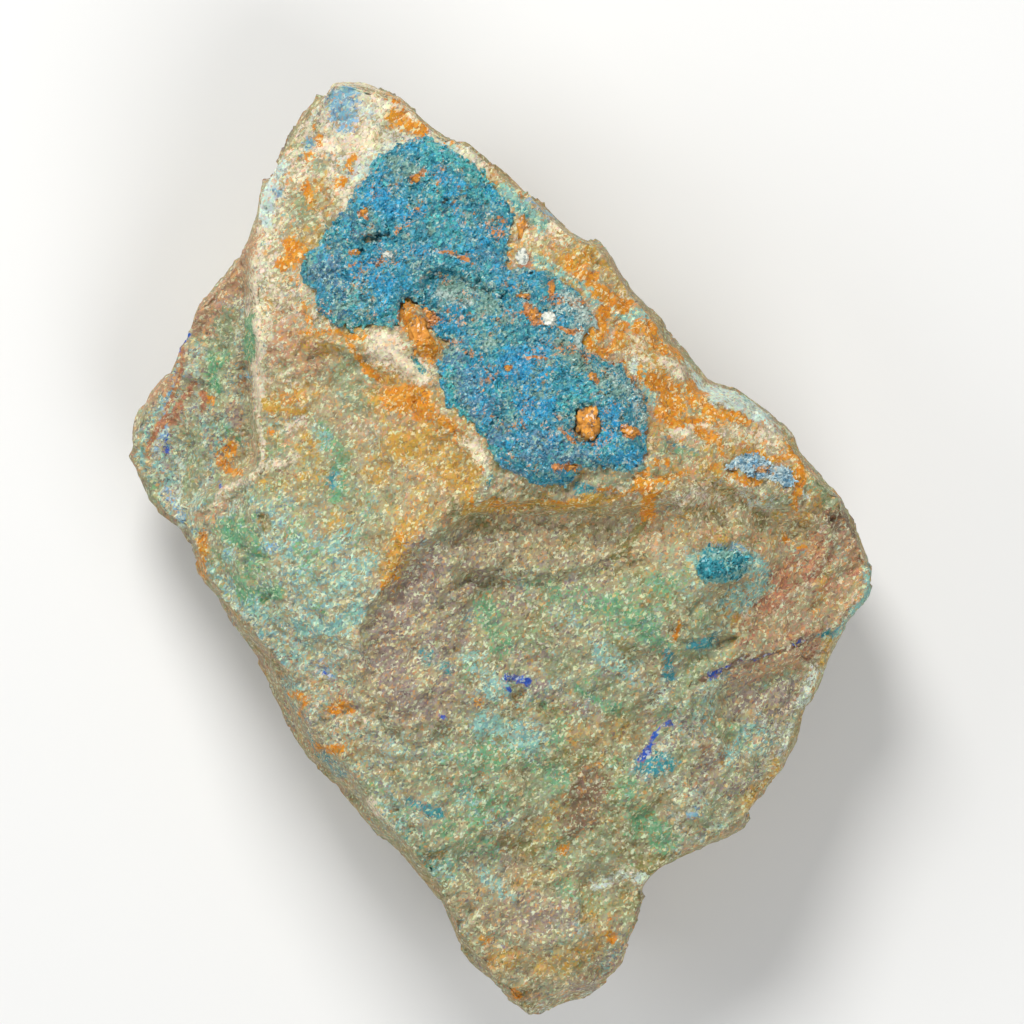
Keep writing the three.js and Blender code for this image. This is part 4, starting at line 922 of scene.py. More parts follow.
def use_group(tree, group, feeds):
    """Places a group in a material and returns the node."""
    node = tree.nodes.new("ShaderNodeGroup")
    node.node_tree = group
    for key, value in feeds.items():
        if isinstance(value, bpy.types.NodeSocket):
            tree.links.new(value, node.inputs[key])
        else:
            node.inputs[key].default_value = value
    return node


# %% [markdown]
# ### The grain group
# Fine-grained rock and crystal crusts are both made of grains that differ a little from each other. The group
# puts out three random colours: one that changes over a few millimetres, one over about one, and one that is
# different in each grain. It is stretched along the rock's grain, as the real one is.

# %% Grain group
grain_group, grain_in, grain_out = new_group(
    "mineral_grain",
    [("Grain Size", "Float", 0.45), ("Patch Size", "Float", 3.2), ("Stretch", "Float", 1.6)],
    [("Patches", "Color", None), ("Clusters", "Color", None), ("Grains", "Color", None)],
)
place_in = wire(grain_group, "TexCoord", out=3)
stretch_in = wire(grain_group, "CombineXYZ", {0: grain_in[2], 1: 1.0, 2: 1.0})
turned_in = wire(
    grain_group, "Mapping", {"Vector": place_in, "Rotation": (0, 0, GRAIN_DIRECTION), "Scale": stretch_in},
    vector_type="TEXTURE",
)
per_metre = maths(grain_group, "DIVIDE", 1 / MM, grain_in[0])
per_patch = maths(grain_group, "DIVIDE", 1 / MM, grain_in[1])
patch_noise = {"Vector": turned_in, "Scale": per_patch, "Detail": 3.0, "Roughness": 0.6}
cluster_noise = {
    "Vector": turned_in, "Scale": maths(grain_group, "MULTIPLY", per_metre, 0.42), "Detail": 3.0, "Roughness": 0.7,
}
warp_noise = wire(grain_group, "TexNoise", {"Vector": turned_in, "Scale": per_metre, "Detail": 1.0}, 1)
warp = wire(grain_group, "VectorMath", {0: warp_noise, 1: (0.5, 0.5, 0.5)}, operation="SUBTRACT")
warp_reach = wire(grain_group, "VectorMath", {0: warp, "Scale": 0.5 * MM}, operation="SCALE")
warped_in = wire(grain_group, "VectorMath", {0: turned_in, 1: warp_reach}, operation="ADD")
grain_group.links.new(wire(grain_group, "TexNoise", patch_noise, 1), grain_out[0])
grain_group.links.new(wire(grain_group, "TexNoise", cluster_noise, 1), grain_out[1])
grain_group.links.new(wire(grain_group, "TexVoronoi", {"Vector": warped_in, "Scale": per_metre}, 1), grain_out[2])

# %% [markdown]
# ### The mineral layer group
# A mineral lies over the ground where its field plus the random values passes a half. A field of 1 covers all, a
# field of a half leaves a speckle. Its own tone goes from deep to pale from grain to grain.

# %% Mineral layer group
layer_group, layer_in, layer_out = new_group(
    "mineral_layer",
    [
        ("Ground", "Color", None), ("Pale", "Color", None), ("Deep", "Color", None), ("Field", "Float", 0.0),
        ("Patches", "Float", 0.5), ("Clusters", "Float", 0.5), ("Grains", "Float", 0.5), ("Tone", "Float", 0.5),
        ("Spread", "Float", 0.9), ("Softness", "Float", 0.2),
    ],
    [("Color", "Color", None), ("Mask", "Float", None)],
)
patch_part = maths(layer_group, "MULTIPLY_ADD", layer_in["Patches"], 1.3, -0.65)
cluster_part = maths(layer_group, "MULTIPLY_ADD", layer_in["Clusters"], 1.6, -0.8)
grain_part = maths(layer_group, "MULTIPLY_ADD", layer_in["Grains"], 0.6, -0.3)
jitter = maths(layer_group, "ADD", maths(layer_group, "ADD", patch_part, cluster_part), grain_part)
level = maths(layer_group, "MULTIPLY_ADD", jitter, layer_in["Spread"], layer_in["Field"])
above = maths(layer_group, "SUBTRACT", level, maths(layer_group, "SUBTRACT", 0.5, layer_in["Softness"]))
reach = maths(layer_group, "MULTIPLY", layer_in["Softness"], 2.0)
mask = eased(layer_group, maths(layer_group, "DIVIDE", above, reach), 0.0, 1.0)
present = maths(layer_group, "MINIMUM", maths(layer_group, "MULTIPLY", layer_in["Field"], 8.0), 1.0)
mask = maths(layer_group, "MULTIPLY", mask, present)
tone = mixed(layer_group, layer_in["Tone"], layer_in["Deep"], layer_in["Pale"])
layer_group.links.new(mixed(layer_group, mask, layer_in["Ground"], tone), layer_out["Color"])
layer_group.links.new(mask, layer_out["Mask"])


# %% Layers in a material
def grain_values(tree, grain_size, patch_size, stretch):
    """The grain group's colours as nine single values, three of each kind."""
    node = use_group(
        tree, grain_group, {"Grain Size": grain_size, "Patch Size": patch_size, "Stretch": stretch}
    )
    values = {}
    for kind in ("Patches", "Clusters", "Grains"):
        split = tree.nodes.new("ShaderNodeSeparateColor")
        tree.links.new(node.outputs[kind], split.inputs[0])
        values[kind] = list(split.outputs)
    values["Grain Colour"] = node.outputs["Grains"]
    return values


def mineral_layers(tree, ground, tones, values, spread=0.9, softness=0.2):
    """The ground colour with every mineral over it, and each mineral's mask."""
    masks = {}
    for index, (mineral, (pale, deep)) in enumerate(tones.items()):
        node = use_group(tree, layer_group, {
            "Ground": ground, "Pale": screen(pale), "Deep": screen(deep), "Field": attribute(tree, mineral),
            "Patches": values["Patches"][index % 3], "Clusters": values["Clusters"][(index + index // 3) % 3],
            "Grains": values["Grains"][(index + 1 + index // 2) % 3], "Tone": tree_tone(tree, values, index),
            "Spread": spread, "Softness": softness,
        })
        ground = node.outputs["Color"]
        masks[mineral] = node.outputs["Mask"]
    return ground, masks


def tree_tone(tree, values, index):
    """A value from 0 to 1 that goes from grain to grain and a little from cluster to cluster."""
    cluster = maths(tree, "MULTIPLY_ADD", values["Clusters"][index % 3], 1.6, -0.3)
    grain = values["Grains"][(index + 2) % 3]
    both = maths(tree, "ADD", maths(tree, "MULTIPLY", cluster, 0.5), maths(tree, "MULTIPLY", grain, 0.5))
    return wire(tree, "Clamp", {0: both})


# %% [markdown]
# ### The speckle group
# Whatever the mineral is, single grains of the rock are cream, dark or ochre. The group lays them over a colour,
# and gives every grain a slight tint of its own.

# %% Speckle group
speckle_group, speckle_in, speckle_out = new_group(
    "single_grains",
    [
        ("Color", "Color", None), ("Pale Value", "Float", 0.5), ("Dark Value", "Float", 0.5),
        ("Warm Value", "Float", 0.5), ("Amount", "Float", 0.5), ("Tint", "Vector", (0.5, 0.5, 0.5)),
    ],
    [("Color", "Color", None)],
)


def speckled(colour, value, low, speck, blend="MIX"):
    share = maths(speckle_group, "MULTIPLY", eased(speckle_group, value, low, low + 0.12), speckle_in["Amount"])
    return mixed(speckle_group, share, colour, speck, blend)


specks = speckled(speckle_in["Color"], speckle_in["Pale Value"], 0.78, screen((246, 236, 210)))
specks = speckled(specks, speckle_in["Dark Value"], 0.80, screen((96, 88, 58)))
specks = speckled(specks, speckle_in["Warm Value"], 0.84, screen((206, 158, 78)))
tint = wire(
    speckle_group, "VectorMath", {0: speckle_in["Tint"], 1: (0.26, 0.26, 0.3), 2: (0.87, 0.87, 0.85)},
    operation="MULTIPLY_ADD",
)
tinted = wire(speckle_group, "VectorMath", {0: specks, 1: tint}, operation="MULTIPLY")
speckle_group.links.new(tinted, speckle_out["Color"])

# %% [markdown]
# ### The rock's material
# A beige ground, the minerals in the order of their list, single grains, and then painted light and shade from the
# small relief: the colour is lighter on what stands out and darker in what lies deep.

# %% Rock material
GROUND_TONES = ((200, 186, 150), (146, 134, 102))


def new_material(name):
    material = bpy.data.materials.new(name)
    material.use_nodes = True
    return material, material.node_tree, material.node_tree.nodes["Principled BSDF"]


def bumped(tree, height, reach_mm, strength):
    feeds = {"Height": height, "Distance": reach_mm * MM, "Strength": strength}
    return wire(tree, "Bump", feeds)


rock_material, tree, shader = new_material("altered_rock")
values = grain_values(tree, 0.24, 3.0, GRAIN_STRETCH)
grain_tint = wire(tree, "CombineXYZ", {axis: values["Grains"][(axis + 2) % 3] for axis in range(3)})
ground = mixed(tree, tree_tone(tree, values, 1), screen(GROUND_TONES[1]), screen(GROUND_TONES[0]))
colour, masks = mineral_layers(tree, ground, TONES, values)
speckle = use_group(tree, speckle_group, {
    "Color": colour, "Pale Value": values["Grains"][0], "Dark Value": values["Grains"][1],
    "Warm Value": values["Grains"][2], "Amount": 0.5, "Tint": grain_tint,
})
# Painted light and shade: the colour is scaled from 0.76 in low places to 1.18 on raised ones.
painted_shading = attribute(tree, "painted_shading")
shade = wire(tree, "MapRange", {"Value": painted_shading, "To Min": 0.76, "To Max": 1.18})
lit = wire(tree, "VectorMath", {0: speckle.outputs[0], "Scale": shade}, operation="SCALE")
tree.links.new(lit, shader.inputs["Base Color"])
roughness = maths(tree, "MULTIPLY_ADD", values["Grains"][1], -0.3, 0.95)
tree.links.new(roughness, shader.inputs["Roughness"])
shader.inputs["Specular IOR Level"].default_value = 0.35
grain_height = maths(tree, "ADD", values["Grains"][2], maths(tree, "MULTIPLY", values["Clusters"][0], 1.5))
tree.links.new(bumped(tree, grain_height, 0.16, 0.75), shader.inputs["Normal"])
rock.data.materials.clear()
rock.data.materials.append(rock_material)
print(rock_material.name, "has", len(tree.nodes), "nodes")

# %% [markdown]
# ## The blue crust
# Caledonite grows here as a thin crust of tiny crystals, a millimetre or so thick, with a ragged rim where it
# breaks off and the rock shows. The refined copy of its solid is set on the rough rock by rays sent straight
# down: each point keeps its own thickness over what it really stands on. Thin places near the rim sink into the
# rock, which leaves an irregular edge. Two sizes of tilted cells then give the crowded crystal faces.

# %% Colours of the blue crust
CRUST_TONES = {
    "slate": ((122, 166, 188), (44, 96, 132)),
    "teal_blue": ((106, 214, 206), (22, 130, 142)),
    "azure": ((66, 196, 228), (4, 108, 172)),
    "sea_grey": ((164, 200, 182), (80, 134, 126)),
    "frost": ((216, 228, 216), (150, 186, 180)),
    "rusty": ((232, 164, 92), (184, 108, 48)),
}
CRUST_GROUND = ((76, 176, 190), (14, 104, 130))
CRUST_SHARES = {"slate": 0.27, "teal_blue": 0.39, "azure": 0.37, "sea_grey": 0.3, "frost": 0.11, "rusty": 0.12}
CRUST_PATCHES = {}
CRUST_PATCHES["teal_blue"] = [
    ("upper end of the crust", [(-6.9, 45.3), (-4.6, 43.1), (-1.3, 39.8)], 2.4, 0.8),
    ("middle of the upper part", [(-9.1, 37.6), (-5.7, 34.2)], 2.0, 0.55),
    ("lower rim of the upper part", [(-18.0, 24.8), (-13.5, 24.8)], 0.9, 0.7),
    ("lower middle", [(6.5, 15.9), (9.3, 17.0)], 1.6, 0.65),
    ("right of the upper part", [(0.4, 39.2), (3.1, 37.0)], 1.1, 0.7),
    ("rim below the left part", [(-19.1, 25.6), (-16.9, 24.3), (-11.9, 24.3)], 0.6, 0.9),
    ("rim of the lower part", [(-6.1, 19.6), (-5.5, 16.4), (-3.5, 13.7), (-1.1, 10.7)], 0.6, 0.8),
]
CRUST_PATCHES["azure"] = [
    ("left part, upper", [(-14.1, 38.7), (-11.9, 37.0)], 1.8, 0.75),
    ("left part, lower", [(-15.2, 30.9), (-13.0, 29.2)], 1.7, 0.85),
    ("right end of the upper part", [(-3.5, 33.1), (0.4, 34.2)], 1.3, 0.5),
    ("bright centre of the lower part", [(1.5, 20.3), (3.1, 18.1), (3.7, 15.9)], 2.0, 1.0),
    ("beside the orange grain", [(11.5, 14.8), (12.4, 13.1)], 1.1, 0.9),
    ("lower right end", [(13.1, 10.3), (15.4, 9.2)], 1.6, 0.85),
    ("middle", [(-6.9, 24.2), (-5.2, 24.8)], 1.0, 0.6),
    ("bright spots near the top", [(-8.5, 44.2)], 0.7, 0.7),
    ("spots of the upper middle", [(-5.7, 38.7)], 0.8, 0.65),
]
CRUST_PATCHES["slate"] = [
    ("left end", [(-19.6, 30.9), (-17.4, 27.6), (-19.1, 25.3)], 2.2, 0.85),
    ("neck", [(-1.3, 31.8), (0.9, 30.9)], 1.3, 0.7),
    ("left of the bright centre", [(-5.2, 20.3), (-3.0, 18.1), (-2.4, 15.3)], 1.9, 0.85),
    ("lower edge", [(-0.2, 12.0), (4.8, 10.9), (8.7, 9.2)], 2.0, 0.9),
    ("upper left rim", [(-17.4, 37.0), (-16.3, 34.8)], 1.0, 0.65),
    ("low corner", [(-0.7, 8.7), (2.0, 7.8)], 1.1, 0.85),
]
CRUST_PATCHES["sea_grey"] = [
    ("hollow below the step", [(-5.7, 28.7), (-2.4, 27.6), (-0.2, 25.3)], 1.4, 0.7),
    ("below the neck", [(-1.9, 22.6), (-0.2, 23.1)], 1.2, 0.65),
    ("right of the neck", [(5.4, 30.9), (8.7, 29.8)], 1.4, 0.6),
    ("top left", [(-11.9, 42.6), (-10.2, 41.4)], 1.1, 0.6),
    ("right part", [(10.9, 18.1), (13.7, 17.0)], 1.4, 0.55),
    ("grey right edge", [(9.3, 27.6), (12.6, 22.6), (15.4, 18.1)], 1.8, 0.6),
    ("right rim, broad", [(7.8, 30.7), (10.9, 27.8), (13.7, 24.2), (15.9, 19.6)], 1.9, 0.8),
    ("between the right patches", [(6.5, 22.6), (9.3, 20.3), (11.5, 18.7)], 1.3, 0.7),
    ("green strip at the lower end", [(9.4, 8.0), (12.3, 7.3), (15.5, 8.7)], 0.9, 0.7),
]
CRUST_PATCHES["frost"] = [
    ("right of the white grains", [(7.0, 26.4), (9.8, 25.3)], 1.3, 0.6),
    ("right rim", [(12.0, 19.2), (14.8, 16.4), (15.4, 14.2)], 1.0, 0.5),
    ("flakes below the step", [(-6.9, 28.1), (-4.1, 27.0)], 0.7, 0.55),
    ("top rim", [(-2.4, 45.3), (0.9, 41.4)], 0.7, 0.45),
    ("pale right of the neck", [(6.5, 31.4), (9.8, 28.7), (11.5, 24.2)], 1.3, 0.6),
    ("pale right edge", [(13.7, 23.1), (15.4, 19.8)], 1.0, 0.55),
    ("cream of the right part", [(10.9, 25.6), (10.0, 22.9), (12.0, 21.8)], 0.9, 0.8),
    ("pale specks of the right part", [(7.0, 27.8), (8.9, 26.2), (8.4, 22.6)], 0.7, 0.75),
]
CRUST_PATCHES["rusty"] = [
    ("speck in the left part", [(-15.5, 37.1), (-14.9, 36.3)], 0.3, 0.85),
    ("specks near the top", [(-9.9, 40.6), (-8.6, 41.3)], 0.4, 0.75),
    ("speck at the left hole", [(-16.3, 32.4)], 0.4, 0.8),
    ("speck by the right hole", [(-11.4, 35.0)], 0.3, 0.6),
    ("specks of the middle", [(-7.2, 33.0), (-3.9, 31.9)], 0.3, 0.6),
    ("tan speck", [(-0.2, 36.1), (0.4, 35.7)], 0.4, 0.6),
    ("streak of the neck", [(2.8, 38.1), (2.5, 36.2), (2.3, 34.4)], 0.6, 0.95),
    ("patch by the lumps", [(-8.5, 26.2), (-7.7, 25.1)], 0.7, 0.8),
    ("streaks above the white grain", [(1.6, 27.7), (3.1, 27.4)], 0.3, 0.9),
    ("upright streak", [(5.6, 29.2), (5.4, 27.8)], 0.3, 0.85),
    ("patch left of the white grain", [(3.1, 26.2), (4.0, 24.8)], 0.7, 0.85),
    ("thin streak", [(6.5, 24.0), (8.9, 23.9)], 0.2, 0.85),
    ("red grain", [(0.7, 19.8)], 0.3, 0.8),
    ("specks of the right part", [(9.8, 18.9), (10.7, 18.2)], 0.4, 0.8),
    ("halo of the oval grain", [(9.3, 14.1)], 0.8, 0.8),
    ("speck on the right", [(13.7, 13.0), (14.9, 12.7)], 0.6, 0.9),
    ("specks below the centre", [(6.7, 13.0), (8.1, 11.7)], 0.3, 0.75),
    ("lower edge", [(5.6, 8.7), (8.7, 9.0)], 0.4, 0.8),
    ("small specks", [(2.6, 20.9), (4.8, 21.1)], 0.2, 0.6),
    ("orange mass by the lumps", [(-10.0, 25.8), (-8.5, 23.7), (-8.0, 21.8)], 1.1, 0.8),
    ("specks among the frost", [(4.8, 27.6), (8.1, 26.9), (10.9, 27.6)], 0.6, 0.5),
    ("specks at the right edge", [(12.0, 22.6), (14.5, 19.6), (15.6, 17.3)], 0.7, 0.55),
    ("specks between the patches", [(6.5, 22.0), (9.8, 21.3), (12.3, 20.7)], 0.6, 0.5),
    ("brown specks, upper right", [(-2.4, 37.0), (-0.2, 34.2)], 0.8, 0.4),
    ("specks above the slate", [(-5.7, 22.6), (-3.5, 21.8)], 0.7, 0.42),
    ("orange web of the right part", [(10.7, 25.6), (11.3, 24.1), (9.8, 23.1), (10.0, 22.0)], 0.4, 0.9),
    ("orange spots of the right part", [(8.1, 31.1), (9.8, 29.2)], 0.4, 0.7),
    ("brown cream strip at the lower end", [(9.8, 6.9), (12.9, 6.4), (15.4, 7.1)], 0.6, 0.7),
]

# %% [markdown]
# The crust also has small steps and holes of its own, placed as on the rock.

# %% Steps and holes in the blue crust
CRUST_LEDGES = {
    "step in the upper part": ([(-9.2, 30.4), (-6.8, 31), (-5, 30.6), (-3.2, 29.2), (-0.6, 28.6)], 1.0, 0.35, 3.4),
    "fold under the holes": ([(-15.6, 34.6), (-13.4, 34.2), (-11.4, 34.4)], 0.6, 0.35, 2.0),
    "right edge of the hollow": ([(1.2, 23.6), (0.6, 26), (-0.4, 28)], 0.4, 0.5, 2.5),
    "shelf of the lower part": ([(-5.2, 20.2), (-2.2, 19.2), (-0.2, 16.2)], -0.35, 0.5, 2.5),
}
CRUST_PITS = {
    "long hole, left": ((-14.6, 34.0), 0.55, 1.0),
    "long hole, middle": ((-13.6, 34.2), 0.5, 1.1),
    "long hole, right": ((-12.6, 34.5), 0.4, 0.8),
    "hole below the specks": ((-15.4, 32.6), 0.35, 0.7),
    "hole near the top": ((-6.2, 38.2), 0.35, 0.7),
    "hole at the neck": ((-1.6, 38), 0.3, 0.5),
    "hole in the lower part": ((-6.0, 22.3), 0.4, 0.9),
    "hole under the step": ((-2.6, 29.4), 0.4, 0.7),
    "hole at the right": ((13.2, 14.2), 0.3, 0.5),
}

# %% Growing a crust on the rock
ABOVE_ALL = 80.0
SINK = 0.45


def tree_of(piece):
    """A search tree of a piece's faces, for rays."""
    mesh = piece.data
    return bvhtree.BVHTree.FromPolygons([v.co for v in mesh.vertices], [tuple(p.vertices) for p in mesh.polygons])


def height_under(tree, points, missed=-1.0):
    """Height of a surface straight below or above each point, in millimetres."""
    heights = np.full(len(points), missed)
    for i, (x, y) in enumerate(points[:, :2].tolist()):
        hit = tree.ray_cast(Vector((x, y, ABOVE_ALL)) * MM, Vector((0, 0, -1)))[0]
        if hit is not None:
            heights[i] = hit.z / MM
    return heights


rock_tree = tree_of(rock)


def rim_distance(points, upness):
    """Distance in the plane of each point of a crust from its side faces, in millimetres."""
    points = points * (1, 1, 0)
    rim = points[np.abs(upness) < 0.35]
    search = kdtree.KDTree(len(rim))
    for i, point in enumerate(rim.tolist()):
        search.insert(point, i)
    search.balance()
    return np.array([search.find(point)[2] for point in points.tolist()])


def grow_crust(node, name, length, ledges, pits, bite, crystal_size, patches):
    """A rough crystal crust from a crust's solid. bite is how far its rim is eaten away on average, in mm."""
    shape = refined_copy(node, length, 1.2, 1)
    points, normals = points_and_normals(shape)
    top = smooth_step(0.1, 0.4, normals[:, 2])
    below = height_under(rock_tree, points)
    cover = points[:, 2] - below
    inside = rim_distance(points, normals[:, 2])
    kept = inside - bite + waves(points, 2.4, 3, bite) + waves(points, 0.7, 2, 0.5 * bite)
    whole = smooth_step(-0.12, 0.12, kept)
    faces = chips(points, crystal_size, 0.34, 0.16 * crystal_size)
    faces += chips(points, 0.45 * crystal_size, 0.5, 0.14 * crystal_size)
    rise = cover * (0.4 + 0.6 * smooth_step(0, 2.5, inside)) + waves(points, 3.2, 3, 0.35) + faces + ledge_heights(points, ledges) + pit_heights(points, pits)
    standing = below - SINK + (rise + SINK) * whole
    points[:, 2] = top * standing + (1 - top) * (below - 2 * SINK)
    placed = ragged(points, 1.4, 0.5)
    fields = {}
    for index, (tone, tone_patches) in enumerate(patches.items()):
        share = CRUST_SHARES[tone]
        clouds = share + share * waves(points + 40 * index, 2.4, 3, 0.9)
        fields[tone] = np.maximum(np.clip(clouds, 0, 0.8), patch_field(placed, tone_patches))
    # Painted light and shade: low crystal faces and the holes get a lower value, which the material turns into darker
    # colour.
    fields["painted_shading"] = np.clip(0.5 + 0.9 * faces + 0.4 * np.minimum(pit_heights(points, pits), 0), 0, 1)
    piece = finished_piece(name, shape, points, fields)
    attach(piece, "root")
    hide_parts(node)
    return piece, points, normals, fields, (top > 0.6) & (whole > 0.7)


crust, crust_points, crust_normals, crust_fields, crust_grown = grow_crust(
    "caledonite_crust", "caledonite_crust_surface", 0.2, CRUST_LEDGES, CRUST_PITS, 0.7, 0.8, CRUST_PATCHES
)

# %% [markdown]
# ### The crystals' material
# The crust sparkles because every tiny face points another way, and painted glints lighten single grains towards
# white. The tones are mixed as on the rock, with a finer grain, and the faces are glossier. Painted shade makes
# deep places and single grains a darker, stronger blue.


# %% Crystal material
def crystal_material(name, ground_tones, tones, grain_size, roughness_range):
    material, tree, shader = new_material(name)
    values = grain_values(tree, grain_size, 2.2, 1.2)
    ground = mixed(tree, tree_tone(tree, values, 0), screen(ground_tones[1]), screen(ground_tones[0]))
    colour, _ = mineral_layers(tree, ground, tones, values, 0.95, 0.14)
    # Painted glints: a few single grains are lightened towards white.
    painted_glint = eased(tree, values["Grains"][2], 0.86, 0.96)
    colour = mixed(tree, maths(tree, "MULTIPLY", painted_glint, 0.4), colour, screen((222, 238, 236)))
    # Painted shade: other single grains are darkened towards deep teal, as the gaps between crystals.
    painted_gap_shade = eased(tree, values["Grains"][1], 0.74, 0.95)
    colour = mixed(tree, maths(tree, "MULTIPLY", painted_gap_shade, 0.55), colour, screen((10, 66, 84)))
    # Painted light and shade from the attribute: darker where it is low, lighter where it is high.
    shade = wire(tree, "MapRange", {"Value": attribute(tree, "painted_shading"), "To Min": 0.62, "To Max": 1.35})
    lit = wire(tree, "VectorMath", {0: colour, "Scale": shade}, operation="SCALE")
    tree.links.new(lit, shader.inputs["Base Color"])
    low, high = roughness_range
    roughness = maths(tree, "MULTIPLY_ADD", values["Grains"][0], high - low, low)
    tree.links.new(roughness, shader.inputs["Roughness"])
    height = maths(tree, "ADD", values["Grains"][1], values["Clusters"][2])
    tree.links.new(bumped(tree, height, 0.14, 0.8), shader.inputs["Normal"])
    return material


blue_material = crystal_material("blue_crystals", CRUST_GROUND, CRUST_TONES, 0.25, (0.25, 0.6))
crust.data.materials.clear()
crust.data.materials.append(blue_material)

# %% [markdown]
# ### Single crystals
# Under a lens the crust is a crowd of short blades. One blade is modelled, a six-sided prism with a chisel end,
# and thousands of copies are laid on the crust with seeded random turns, then joined into one mesh. Most lie
# nearly flat, as in a crust that has been rubbed, and some stand up and catch the light.

# %% One blade
BLADE_SIDES = 6


def blade_template():
    """A prism 1 long with a chisel end, from its root at the origin up +Z, as points and triangles."""
    shape = bmesh.new()
    bmesh.ops.create_cone(
        shape, cap_ends=True, segments=BLADE_SIDES, radius1=0.5, radius2=0.5, depth=0.8
    )
    bmesh.ops.translate(shape, verts=shape.verts, vec=(0, 0, 0.4))
    cap = max(shape.faces, key=lambda face: face.calc_center_median().z)
    tip = bmesh.ops.extrude_discrete_faces(shape, faces=[cap])["faces"][0]
    bmesh.ops.translate(shape, verts=tip.verts, vec=(0, 0, 0.2))
    bmesh.ops.scale(shape, verts=tip.verts, vec=(0.75, 0.2, 1))
    bmesh.ops.scale(shape, verts=shape.verts, vec=(1, 0.55, 1))
    bmesh.ops.bridge_loops(shape, edges=[e for e in shape.edges if e.is_boundary])
    bmesh.ops.remove_doubles(shape, verts=shape.verts, dist=1e-4)
    bmesh.ops.recalc_face_normals(shape, faces=shape.faces)
    bmesh.ops.triangulate(shape, faces=shape.faces)
    points = np.array([v.co for v in shape.verts])
    faces = np.array([[v.index for v in face.verts] for face in shape.faces])
    shape.free()
    return points, faces


blade_points, blade_faces = blade_template()
print("one blade has", len(blade_faces), "triangles")


# %% Crystals spread over a crust
def turn_to(directions, spins):
    """Rotation matrices that take +Z to each direction, after a spin about it."""
    z = directions / np.linalg.norm(directions, axis=1, keepdims=True)
    helper = np.where(np.abs(z[:, 2:3]) < 0.9, [[0, 0, 1.0]], [[1.0, 0, 0]])
    x = np.cross(helper, z)
    x /= np.linalg.norm(x, axis=1, keepdims=True)
    y = np.cross(z, x)
    c, s = np.cos(spins)[:, None], np.sin(spins)[:, None]
    return np.stack([c * x + s * y, c * y - s * x, z], axis=2)


def spread_blades(name, count, lengths, points, normals, fields, grown, seed):
    """One mesh of many blades that stand on points of a crust and take their colours from it."""
    random = np.random.default_rng(seed)
    roots = random.choice(np.flatnonzero(grown), count)
    length = random.uniform(*lengths, count) * random.choice([1.0, 1.0, 0.7, 0.5], count)
    width = length * random.uniform(0.3, 0.62, count)
    sideways = random.normal(size=(count, 3))
    lift = random.uniform(0.15, 1.2, count)
    directions = sideways / np.linalg.norm(sideways, axis=1, keepdims=True) + lift[:, None] * normals[roots]
    turns = turn_to(directions, random.uniform(0, 2 * math.pi, count))
    scaled = blade_points[None] * np.stack([width, width, length], axis=1)[:, None]
    placed = np.einsum("nij,nkj->nki", turns, scaled) + points[roots][:, None]
    placed -= 0.22 * length[:, None, None] * turns[:, None, :, 2]
    faces = (blade_faces[None] + len(blade_points) * np.arange(count)[:, None, None]).reshape(-1, 3)
    mesh = bpy.data.meshes.new(name)
    mesh.from_pydata((placed.reshape(-1, 3) * MM).tolist(), [], faces.tolist())
    # Each blade gets its own random level of painted shade instead of the crust's value.
    tone = random.uniform(0.3, 1.0, count)
    for label, values in fields.items():
        own = tone if label == "painted_shading" else values[roots]
        attribute = mesh.attributes.new(label, "FLOAT", "POINT")
        attribute.data.foreach_set("value", np.repeat(own, len(blade_points)).astype(np.float32))
    piece = bpy.data.objects.new(name, mesh)
    bpy.context.scene.collection.objects.link(piece)
    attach(piece, "root")
    print(name, "has", count, "blades and", len(faces), "triangles")
    return piece


crystals = spread_blades(
    "caledonite_crystals", 6500, (0.25, 0.62), crust_points, crust_normals, crust_fields, crust_grown, 7
)
crystals.data.materials.append(blue_material)

# %% [markdown]
# ## The two small crusts
# The pale crust on the right ledge and the teal patch below it grow in the same way, thinner and finer.

# %% Small crusts
PALE_TONES = {"azure": ((152, 196, 216), (104, 156, 186)), "rusty": ((224, 176, 112), (184, 124, 60))}
PALE_GROUND = ((206, 220, 218), (150, 184, 194))
PALE_PATCHES = {
    "azure": [
        ("blue middle", [(25.6, 9.4), (28.6, 8.8)], 0.6, 0.4),
        ("blue right end", [(31.0, 7.6), (32.2, 6.6)], 0.6, 0.4),
    ],
    "rusty": [("rusty middle", [(28.2, 8.8), (29.6, 8.4)], 0.5, 0.5)],
}
TEAL_TONES = {"azure": ((74, 178, 190), (18, 120, 136)), "rusty": ((206, 180, 124), (160, 130, 80))}
TEAL_GROUND = ((160, 200, 184), (102, 158, 148))
TEAL_PATCHES = {
    "azure": [("bright core", [(22.4, -2.6), (24, -2)], 0.9, 0.95), ("blue rim", [(26, -1)], 0.8, 0.6)],
    "rusty": [("rusty speck", [(21.6, -1)], 0.4, 0.5)],
}
small_crusts = {
    "ledge_crust": ("ledge_crust_surface", "pale_crystals", PALE_GROUND, PALE_TONES, PALE_PATCHES, 260),
    "side_crust": ("side_crust_surface", "teal_crystals", TEAL_GROUND, TEAL_TONES, TEAL_PATCHES, 220),
}
for node, (name, slot, ground_tones, tones, patches, count) in small_crusts.items():
    small, points, normals, fields, grown = grow_crust(node, name, 0.25, {}, {}, 0.35, 0.6, patches)
    small_material = crystal_material(slot, ground_tones, tones, 0.34, (0.4, 0.8))
    small.data.materials.clear()
    small.data.materials.append(small_material)
    blades = spread_blades(node + "_crystals", count, (0.35, 0.8), points, normals, fields, grown, count)
    blades.data.materials.append(small_material)

# %% [markdown]
# ## Rusty and white grains in the crust
# Lumps of limonite and of white carbonate stick in the crust. Each is a small ball made lumpy by noise, and they
# are joined into one mesh for each mineral.

